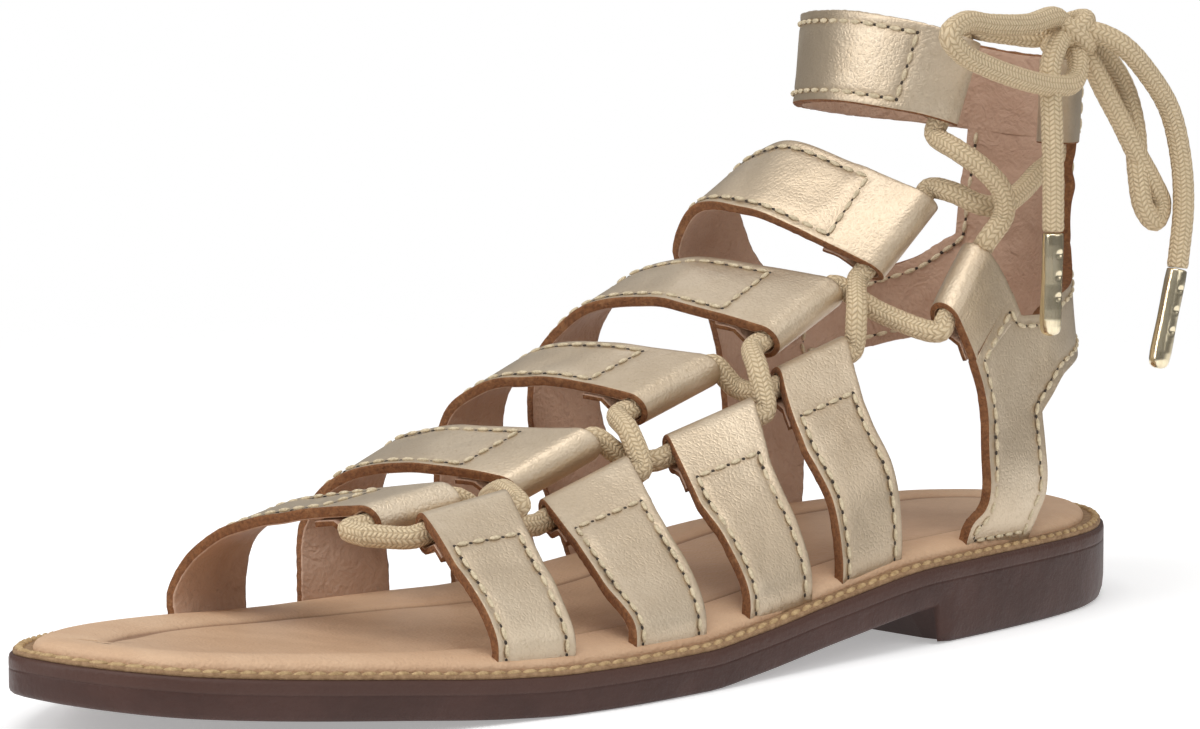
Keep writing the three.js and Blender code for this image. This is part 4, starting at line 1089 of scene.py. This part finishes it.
# Strap edges on the outer face, from the sole up to the loop; the first two heights are above the sole
strapEdges = {
    "lateral_strap_1": (
        [(36.4, -56.3, 0), (36, -56.1, 5.5), (30.4, -55.5, 20.1), (23.2, -54.7, 25.6),
         (16.3, -52.8, 29.8), (9.5, -50.8, 32.9)],
        [(38.8, -40.3, 0), (38.4, -40.1, 5.5), (32.9, -39.5, 20.6), (26.5, -38.3, 26.5),
         (19.9, -36.2, 31.6), (13.4, -34.1, 36.1)],
    ),
    "lateral_strap_2": (
        [(39.4, -27, 0), (38.8, -26.8, 5.5), (30.4, -25.3, 18.3), (21.9, -23.8, 23.9),
         (13.7, -21.6, 28.2), (5.8, -19.3, 31.8)],
        [(38.6, -9, 0), (38, -8.8, 6), (31.3, -7, 21.5), (23.9, -6.2, 28), (16.9, -4, 33.5),
         (9.7, -1.8, 38.6)],
    ),
    "lateral_strap_3": (
        [(37.4, 2.4, 0), (36.8, 2.8, 6), (30.3, 4.3, 22.3), (23.2, 4.2, 29.3), (16, 6.3, 35.5),
         (9, 8.6, 41.3)],
        [(36.4, 19.4, 0), (36, 19.6, 6), (31.3, 20.5, 25.7), (25.7, 20.7, 33.3), (20.3, 22.9, 40.5),
         (14.9, 25.3, 47.2)],
    ),
    "lateral_strap_4": (
        [(35.2, 28, 0), (35, 28.2, 6), (31.8, 28.6, 28.9), (25.7, 28.6, 36.8), (18.8, 31, 44),
         (13, 33.9, 51.7)],
        [(33.6, 45.4, 0), (33.8, 45.4, 6), (32.6, 44.6, 32.5), (26.8, 44.7, 40.7), (20.4, 47.1, 48.6),
         (14.7, 49.9, 56.6)],
    ),
    "medial_strap_1": (
        [(-32.6, -71.8, 0), (-33.6, -71.4, 6.0), (-31, -69.2, 21.6), (-23.9, -67.5, 26.6),
         (-16.5, -65.6, 29.5), (-9.1, -62.9, 31.3), (-1.7, -59.7, 32.4), (5.5, -56.3, 33.1)],
        [(-35.6, -53.4, 0), (-36.2, -53, 7), (-35.6, -51.5, 23), (-28.3, -50.4, 28.7),
         (-20.1, -48.8, 31.3), (-10.8, -47, 33.1), (-0.9, -43.9, 34.8), (8.6, -40, 36.3)],
    ),
    "medial_strap_2": (
        [(-36, -39.8, 0), (-36.6, -39.4, 6.0), (-38, -37.4, 23.6), (-32.6, -35.1, 31.5),
         (-23.8, -32, 34.8), (-15, -28.5, 35.5), (-6.4, -24.6, 35.0), (2.1, -20.7, 33.7)],
        [(-34.2, -20.4, 0), (-35.2, -20, 8), (-39, -18.6, 27), (-35, -17.1, 36.8), (-26.6, -15.2, 40.1),
         (-16, -11.9, 41), (-5.2, -8.3, 41.4), (5.7, -4.6, 42.1)],
    ),
    "medial_strap_3": (
        [(-31.4, -6.6, 0), (-31.6, -7, 6.0), (-34, -8.6, 27.0), (-32.3, -7.9, 40.8), (-24.8, -5.1, 47.3),
         (-14.7, -0.9, 49.1), (-4.7, 3.5, 48.2), (5.2, 8, 46.2)],
        [(-28, 11.6, 0), (-29.4, 11, 6), (-35, 8.4, 31), (-34.3, 8.8, 44.6), (-27, 11.2, 52.3),
         (-15.5, 15.2, 54.5), (-4.1, 20, 53.7), (6.9, 25.4, 52.7)],
    ),
    "medial_strap_4": (
        [(-26.8, 18.6, 0), (-28.6, 17.6, 6.0), (-33, 14.4, 34.0), (-32.9, 15.3, 49.7),
         (-25.8, 19.9, 59.2), (-13, 24.7, 61.9), (-0.4, 29.8, 59.9), (12.1, 35, 56.8)],
        [(-24.8, 37, 0), (-27.4, 36, 6), (-33.6, 31.8, 38), (-34.8, 32.3, 53.6), (-29.7, 36.9, 64),
         (-16.6, 41.9, 68.1), (-2.8, 46.9, 67.1), (11.6, 52.2, 65.3)],
    ),
}
lateralLeg = {
    "side": 1, "snapLow": 200,
    "front": [(34, 64, 0), (34, 65.6, 5), (34, 69.3, 23), (33.1, 70.4, 32.1), (32.4, 71.4, 42.2),
              (30.7, 70, 49.4), (28.9, 67.5, 56.1), (28.2, 65.3, 60.9)],
    "rear": [(33, 83.6, 0), (33, 85.8, 5), (32, 87.9, 24), (32, 87.4, 33.1), (31.1, 87.1, 45.4),
             (29.2, 83.5, 57.6), (28.3, 78.9, 66.3), (27.4, 73.9, 72.1)],
}
medialLeg = {
    "side": -1, "snapLow": 54,
    "front": [(-34, 57.4, 0), (-34, 59, 6.0), (-33, 60.4, 30.0), (-31, 58, 46.0), (-29.7, 52.8, 57.0),
              (-28.2, 47, 67.9), (-21, 45.2, 77.3), (-8.6, 47.4, 77.4), (3.8, 52.6, 72.4),
              (15.2, 59.2, 66.5)],
    "rear": [(-33, 78, 0), (-33, 80, 6.0), (-32, 82, 32.0), (-30, 79.6, 48.0), (-28.8, 73, 59.1),
             (-28, 65.7, 69.1), (-26.5, 60.6, 80.8), (-13.7, 61.6, 89.3), (2.5, 65.8, 85.4),
             (18.1, 70.3, 80.0)],
}
strapCreases = {  # share along, depth, width and slant of each soft fold in the leather
    "lateral_strap_1": [(0.34, 0.22, 3.0, 0.25), (0.52, -0.2, 2.2, -0.2)],
    "lateral_strap_2": [(0.42, -0.25, 3.2, 0.2), (0.6, 0.2, 2.4, -0.15)],
    "lateral_strap_3": [(0.5, 0.25, 2.6, 0.3), (0.62, -0.25, 1.8, 0.2)],
    "lateral_strap_4": [(0.4, -0.2, 3.6, -0.2), (0.63, -0.25, 2.0, 0.3)],
    "medial_strap_1": [(0.45, 0.22, 4.0, 0.3), (0.62, -0.2, 3.0, -0.3)],
    "medial_strap_2": [(0.48, -0.22, 3.5, 0.35), (0.66, 0.2, 3.2, -0.2)],
    "medial_strap_3": [(0.5, 0.25, 3.6, 0.3), (0.7, -0.22, 2.8, 0.25)],
    "medial_strap_4": [(0.52, -0.22, 4.2, 0.2), (0.72, 0.22, 3.2, -0.3)],
    "medial_leg": [(0.55, 0.25, 4, 0.3), (0.7, -0.25, 3.4, -0.2), (0.86, 0.2, 2.4, 0.2)],
    "ankle_cuff": [(0.2, 0.25, 5, 0.2), (0.34, -0.3, 4, -0.2), (0.56, 0.3, 4, 0.2), (0.75, -0.25, 5, 0.1)],
}

straps = {}
for name, (front, rear) in strapEdges.items():
    face = straps[name] = StrapFace(1 if name.startswith("lateral") else -1, front, rear)
    plain = "gold" + "".join(word.capitalize() for word in name.split("_"))
    worn(strapPiece(plain, face, creases=strapCreases[name]), "gold", name)
    strapStitches(plain, face)
print("eight instep straps are folded and stitched")

# Heel counter edges by angle from the back, and cuff edges the same way
counterEdges = [
    (-100, 44.6, 58.6), (-90, 45.0, 58.2), (-75, 46.0, 60.4), (-50, 48.2, 63.6), (-32, 49.6, 68.6),
    (0, 50.0, 72.0), (32, 49.6, 68.6), (52, 48.0, 62.6), (74, 45.8, 60.2), (84, 42.2, 58.4),
    (93, 37.0, 55.2), (99, 34.0, 50.0),
]
cuffEdges = [
    (-244, 92.0, 108.4), (-215, 95.6, 112.4), (-180, 97.2, 114.2), (-120, 94.6, 112.2), (-60, 90.6, 108.0),
    (0, 87.6, 103.8), (66, 88.4, 104.4),
]
backStrap = {"half": 33, "high": 96}
lateralFace = StrapFace(**lateralLeg)
medialFace = StrapFace(**medialLeg)
cuffFace = RingFace(anklePoint, -240, 66, cuffEdges, lean=8)
panelSizes = {
    "counterFrom": -100, "counterTo": 84, "legFrom": 88, "rearPast": 0.03, "rearHigh": 56.6, "rearLow": 39.5,
    "perDegree": 0.49, "quarterTurn": 44.1,  # the flat pattern's millimetres for a degree and for 90 degrees
    "outlineStep": 0.8, "grid": 1.3, "gridStart": 0.45, "merge": 0.05, "near": 0.4, "inside": 50,
    "bevel": 0.28, "bevelAngle": 55, "seamKept": 0.93, "liningStitches": 88, "tabOver": 2.2,
}


def edgeTable(column, fromAngle, toAngle, count=30):
    around = np.linspace(fromAngle, toAngle, count)
    return np.stack([around, readTable(counterEdges, column, around)], axis=-1)


def legEdge(face, which, low, high, count=40):  # a leg's edge as angle and height, between two shares of it
    points = evenly(face.edges[which], np.linspace(low, high, count))
    return np.stack([face.side * (90 + ankleCentre - points[:, 1]), points[:, 2]], axis=-1)


def panelOutline():
    seam = 1 - strapSizes["seamBack"] / lateralFace.length
    front = legEdge(lateralFace, 0, 0, seam)
    rear = legEdge(lateralFace, 1, 0, seam + panelSizes["rearPast"])[::-1]
    half, high = backStrap["half"], backStrap["high"]
    counterTop = edgeTable(2, panelSizes["legFrom"], half)
    farTop = edgeTable(2, -half, panelSizes["counterFrom"])
    counterLow = edgeTable(1, panelSizes["counterFrom"], panelSizes["counterTo"], 60)
    top = rear[rear[:, 1] > panelSizes["rearHigh"]]
    low = rear[rear[:, 1] < panelSizes["rearLow"]]
    return np.vstack([front, top, counterTop, [(half, high), (-half, high)], farTop, counterLow, low])


def toFlat(points):  # angle and height to millimetres on the flat pattern
    angle = np.clip(points[:, 0], -90, 90) * panelSizes["perDegree"]
    beyond = np.sign(points[:, 0]) * np.maximum(0, np.abs(points[:, 0]) - 90)
    return np.stack([angle + beyond, points[:, 1]], axis=-1)


def fromFlat(flat):
    arc, quarter = flat[:, 0], panelSizes["quarterTurn"]
    beyond = np.sign(arc) * (90 + np.abs(arc) - quarter)
    return heelPoint(np.where(np.abs(arc) <= quarter, arc / panelSizes["perDegree"], beyond), flat[:, 1])


def outwardOf(flat):  # places on the heel and their normals, away from the foot
    e = np.array([panelSizes["near"], 0.0])
    along = fromFlat(flat + e) - fromFlat(flat - e)
    up = fromFlat(flat + e[::-1]) - fromFlat(flat - e[::-1])
    outer, normals = fromFlat(flat), unit(np.cross(along, up))
    fromFoot = np.sum(normals * (outer - np.array([0, ankleCentre, panelSizes["inside"]])), axis=1)
    return outer, normals * np.sign(fromFoot)[:, None]


def evenOutline(flat):
    route = np.hstack([np.vstack([flat, flat[:1]]), np.zeros((len(flat) + 1, 1))])
    count = int(runOf(route)[-1] / panelSizes["outlineStep"])
    return evenly(route, np.arange(count) / count)[:, :2]


def awayFrom(points, corners):
    found = np.full(len(points), 1e9)
    for start, run in zip(corners, np.roll(corners, -1, axis=0) - corners):
        found = np.minimum(found, awayFromLine(points, start, run))
    return found


def awayFromLine(points, start, run):
    share = np.clip(((points - start) @ run) / max(run @ run, 1e-9), 0, 1)
    return np.linalg.norm(points - start - share[:, None] * run, axis=1)


def insideOf(points, corners):
    x, y = points[:, 0], points[:, 1]
    found = np.zeros(len(points), bool)
    for (ax, ay), (bx, by) in zip(corners, np.roll(corners, -1, axis=0)):
        crosses = (ay > y) != (by > y)
        if crosses.any():
            found ^= crosses & (x < ax + (y - ay) * (bx - ax) / (by - ay))
    return found


def insetOutline(flat, inset):
    ahead = np.roll(flat, -1, axis=0) - np.roll(flat, 1, axis=0)
    side = unit(np.stack([-ahead[:, 1], ahead[:, 0]], axis=-1)) * inset
    inward = np.where(insideOf(flat + side, flat)[:, None], flat + side, flat - side)
    return inward[awayFrom(inward, flat) > inset * panelSizes["seamKept"]]


panelCreases = [  # start and end on the flat pattern, depth and width
    ((-30, 84), (30, 78), 0.5, 2.2), ((-28, 74), (22, 84), -0.45, 2.0), ((-20, 66), (24, 70), 0.35, 2.4),
    ((46, 20), (66, 26), 0.25, 4), ((44, 40), (62, 34), -0.25, 4),
]


def makeHeelPanel():  # one flat pattern, cut into a grid, carried round the heel and given its wall
    flat = evenOutline(toFlat(panelOutline()))
    bm = bmesh.new()
    bm.faces.new([bm.verts.new((x, 0, z)) for x, z in flat])
    for first, final, way in zip(flat.min(axis=0), flat.max(axis=0), (Vector((1, 0, 0)), Vector((0, 0, 1)))):
        for at in np.arange(first + panelSizes["gridStart"], final, panelSizes["grid"]):
            everything = bm.verts[:] + bm.edges[:] + bm.faces[:]
            bmesh.ops.bisect_plane(bm, geom=everything, plane_co=way * float(at), plane_no=way)
    bmesh.ops.remove_doubles(bm, verts=bm.verts, dist=panelSizes["merge"])
    edge, seam = bm.verts.layers.float.new("edge"), bm.verts.layers.float.new("seam")
    pattern = np.array([(v.co.x, v.co.z) for v in bm.verts])
    away = awayFrom(pattern, flat)
    outer, normals = outwardOf(pattern)
    sunk = np.exp(-((away - strapSizes["stitchIn"]) / strapSizes["channelWide"]) ** 2)
    push = -strapSizes["channel"] * sunk
    for start, end, depth, wide in panelCreases:
        start, end = np.array(start, float), np.array(end, float)
        push += depth * np.exp(-(awayFromLine(pattern, start, end - start) / wide) ** 2)
    for v, point, d in zip(bm.verts, outer + normals * push[:, None], away):
        v.co = (point + np.array([shiftX, 0, 0])) * mm
        v[edge] = d
        v[seam] = abs(d - strapSizes["stitchIn"])
    for face in bm.faces:
        face.smooth = True
    bmesh.ops.recalc_face_normals(bm, faces=bm.faces)
    middle = Vector((shiftX, ankleCentre, panelSizes["inside"])) * mm
    if sum(face.normal.dot(face.calc_center_median() - middle) for face in bm.faces) < 0:
        bmesh.ops.reverse_faces(bm, faces=bm.faces)
    panel = finished("heelPanel", bm, [gold, lining, raw])
    wall = panel.modifiers.new("wall", "SOLIDIFY")
    wall.thickness = strapSizes["thick"] * mm
    wall.offset = -1
    wall.use_even_offset = True
    wall.material_offset = 1
    wall.material_offset_rim = 2
    cut = panel.modifiers.new("cut", "BEVEL")
    cut.width = panelSizes["bevel"] * mm
    cut.segments = 2
    cut.limit_method = "ANGLE"
    cut.angle_limit = math.radians(panelSizes["bevelAngle"])
    worn(panel, "gold", "heel_quarter")
    line, normals = outwardOf(insetOutline(flat, strapSizes["stitchIn"]))
    stitches, holes = stitchRun(line - normals * strapSizes["channel"] * strapSizes["stitchSink"], normals)
    sewn("heelPanel", stitches, holes)
    inner = stitchRun(line - normals * (strapSizes["thick"] + 0.1), -normals)
    low = [[spot for spot in spots if spot[0][2] < panelSizes["liningStitches"]] for spots in inner]
    sewn("heelLining", *low)


class PartFace:  # the end stretch of a strap's face, as a face of its own
    def __init__(self, face, start):
        self.face, self.start, self.sign = face, start, face.sign
        self.length = face.length * (1 - start)
        self.width = face.width

    def at(self, u, v):
        return self.face.at(self.start + (1 - self.start) * np.asarray(u, float), v)


makeHeelPanel()
tab = PartFace(lateralFace, 1 - (strapSizes["seamBack"] + panelSizes["tabOver"]) / lateralFace.length)
worn(strapPiece("lateralTab", tab), "gold", "heel_quarter")
for name, face, folds, creases in (("medialLeg", medialFace, 1, strapCreases["medial_leg"]),
                                   ("ankleCuff", cuffFace, 2, strapCreases["ankle_cuff"])):
    worn(strapPiece(name, face, folds=folds, creases=creases), "gold", "heel_quarter")
    strapStitches(name, face, folds)
print("heel panel, legs and cuff are sewn")

# Lacing: two strands from one bar at the toe, crossed over the gap between each pair of straps
lacingSizes = {"past": 2.5, "over": 2.4, "bow": 3, "barPast": 0.8}
ankleRoutes = {
    "inner": [(18.4, 75, 80.4), (22, 77.6, 78.4), (23.6, 82, 77.8), (23.2, 88, 80), (22, 94, 83)],
    "innerTop": [(23.4, 97, 108), (26.6, 94.4, 108.8), (30.5, 92, 110)],
    "outer": [(26.4, 76, 72.4), (28.4, 77.8, 76.6), (28.8, 76.8, 81.2), (26.8, 73.8, 85.4),
              (22.6, 71.6, 88.6)],
    "outerTop": [(20.8, 79, 110.8), (25, 84, 109.8), (27.6, 86.6, 109.4), (31, 90, 110.2)],
}


def through(face, end=1):
    places = ((0, -lacingSizes["past"]), (0, 0), (0.5, 0), (1, 0), (1, lacingSizes["past"]))
    return [holeMiddle(face, share, past, end) for share, past in places]


def crossing(start, stop, lift):
    up = unit(normalOf(start, 1.0, 1.0) + normalOf(stop, 1.0, 0.0))
    return (holeMiddle(start, 1) + holeMiddle(stop, 0)) / 2 + up * lift


def strand(first, second, lifts, cuffEnd, before, after):
    sides = [first, second]
    entry = through(first[0])
    bar = (entry[0] + through(second[0])[0]) / 2 + np.array([0, -lacingSizes["bow"], 0])
    points = [bar + unit(bar - entry[0]) * lacingSizes["barPast"]] + entry
    for i in range(1, len(first)):
        start, stop = sides[(i + 1) % 2][i - 1], sides[i % 2][i]
        points += [crossing(start, stop, lifts[i % 2])] + through(stop)
    return points + list(np.array(before, float)) + through(cuffFace, cuffEnd) + list(np.array(after, float))


laterals = [straps[f"lateral_strap_{k}"] for k in (1, 2, 3, 4)] + [lateralFace]
medials = [straps[f"medial_strap_{k}"] for k in (1, 2, 3, 4)] + [medialFace]
over = lacingSizes["over"]
for name, *route in (
    ("laceStrandA", medials, laterals, (over, -over), 1, ankleRoutes["inner"], ankleRoutes["innerTop"]),
    ("laceStrandB", laterals, medials, (-over, over), 0, ankleRoutes["outer"], ankleRoutes["outerTop"]),
):
    worn(laceTube(name, strand(*route))[0], "lace", "lacing")


# Two turns of lace round the middle of the bow: axis, the way they bulge, half width and half height
knotWraps = [
    ((0.30, 0.55, 0.78), (0.73, -0.68, 0.0), 3.6, 4.3),
    ((-0.25, -0.4, 0.88), (0.62, -0.6, 0.5), 3.4, 4.0),
]
knotSizes = {"radius": 2.0, "rise": 0.9, "turn": 150, "step": 25}


def makeKnot():
    centre = np.array(knotPlace, float)
    turn, step = knotSizes["turn"], knotSizes["step"]
    for number, (axis, out, wide, tall) in enumerate(knotWraps, 1):
        axis = unit(np.array(axis))
        out = unit(np.array(out) - axis * np.dot(out, axis))
        side = np.cross(axis, out)
        points = []
        for a in np.radians(np.arange(-turn, turn + 1, step)):
            wrapped = out * wide * math.cos(a) + side * tall * math.sin(a)
            points.append(centre + wrapped + axis * knotSizes["rise"] * a / math.pi)
        worn(laceTube(f"knotWrap{number}", points, knotSizes["radius"])[0], "lace", "lace_bow")


makeKnot()
print("lace is threaded and tied")

bm = bmesh.new()
bmesh.ops.create_grid(bm, x_segments=2, y_segments=2, size=floorSizes["size"])
floor = finished("studioFloor", bm, [floorPaint()])
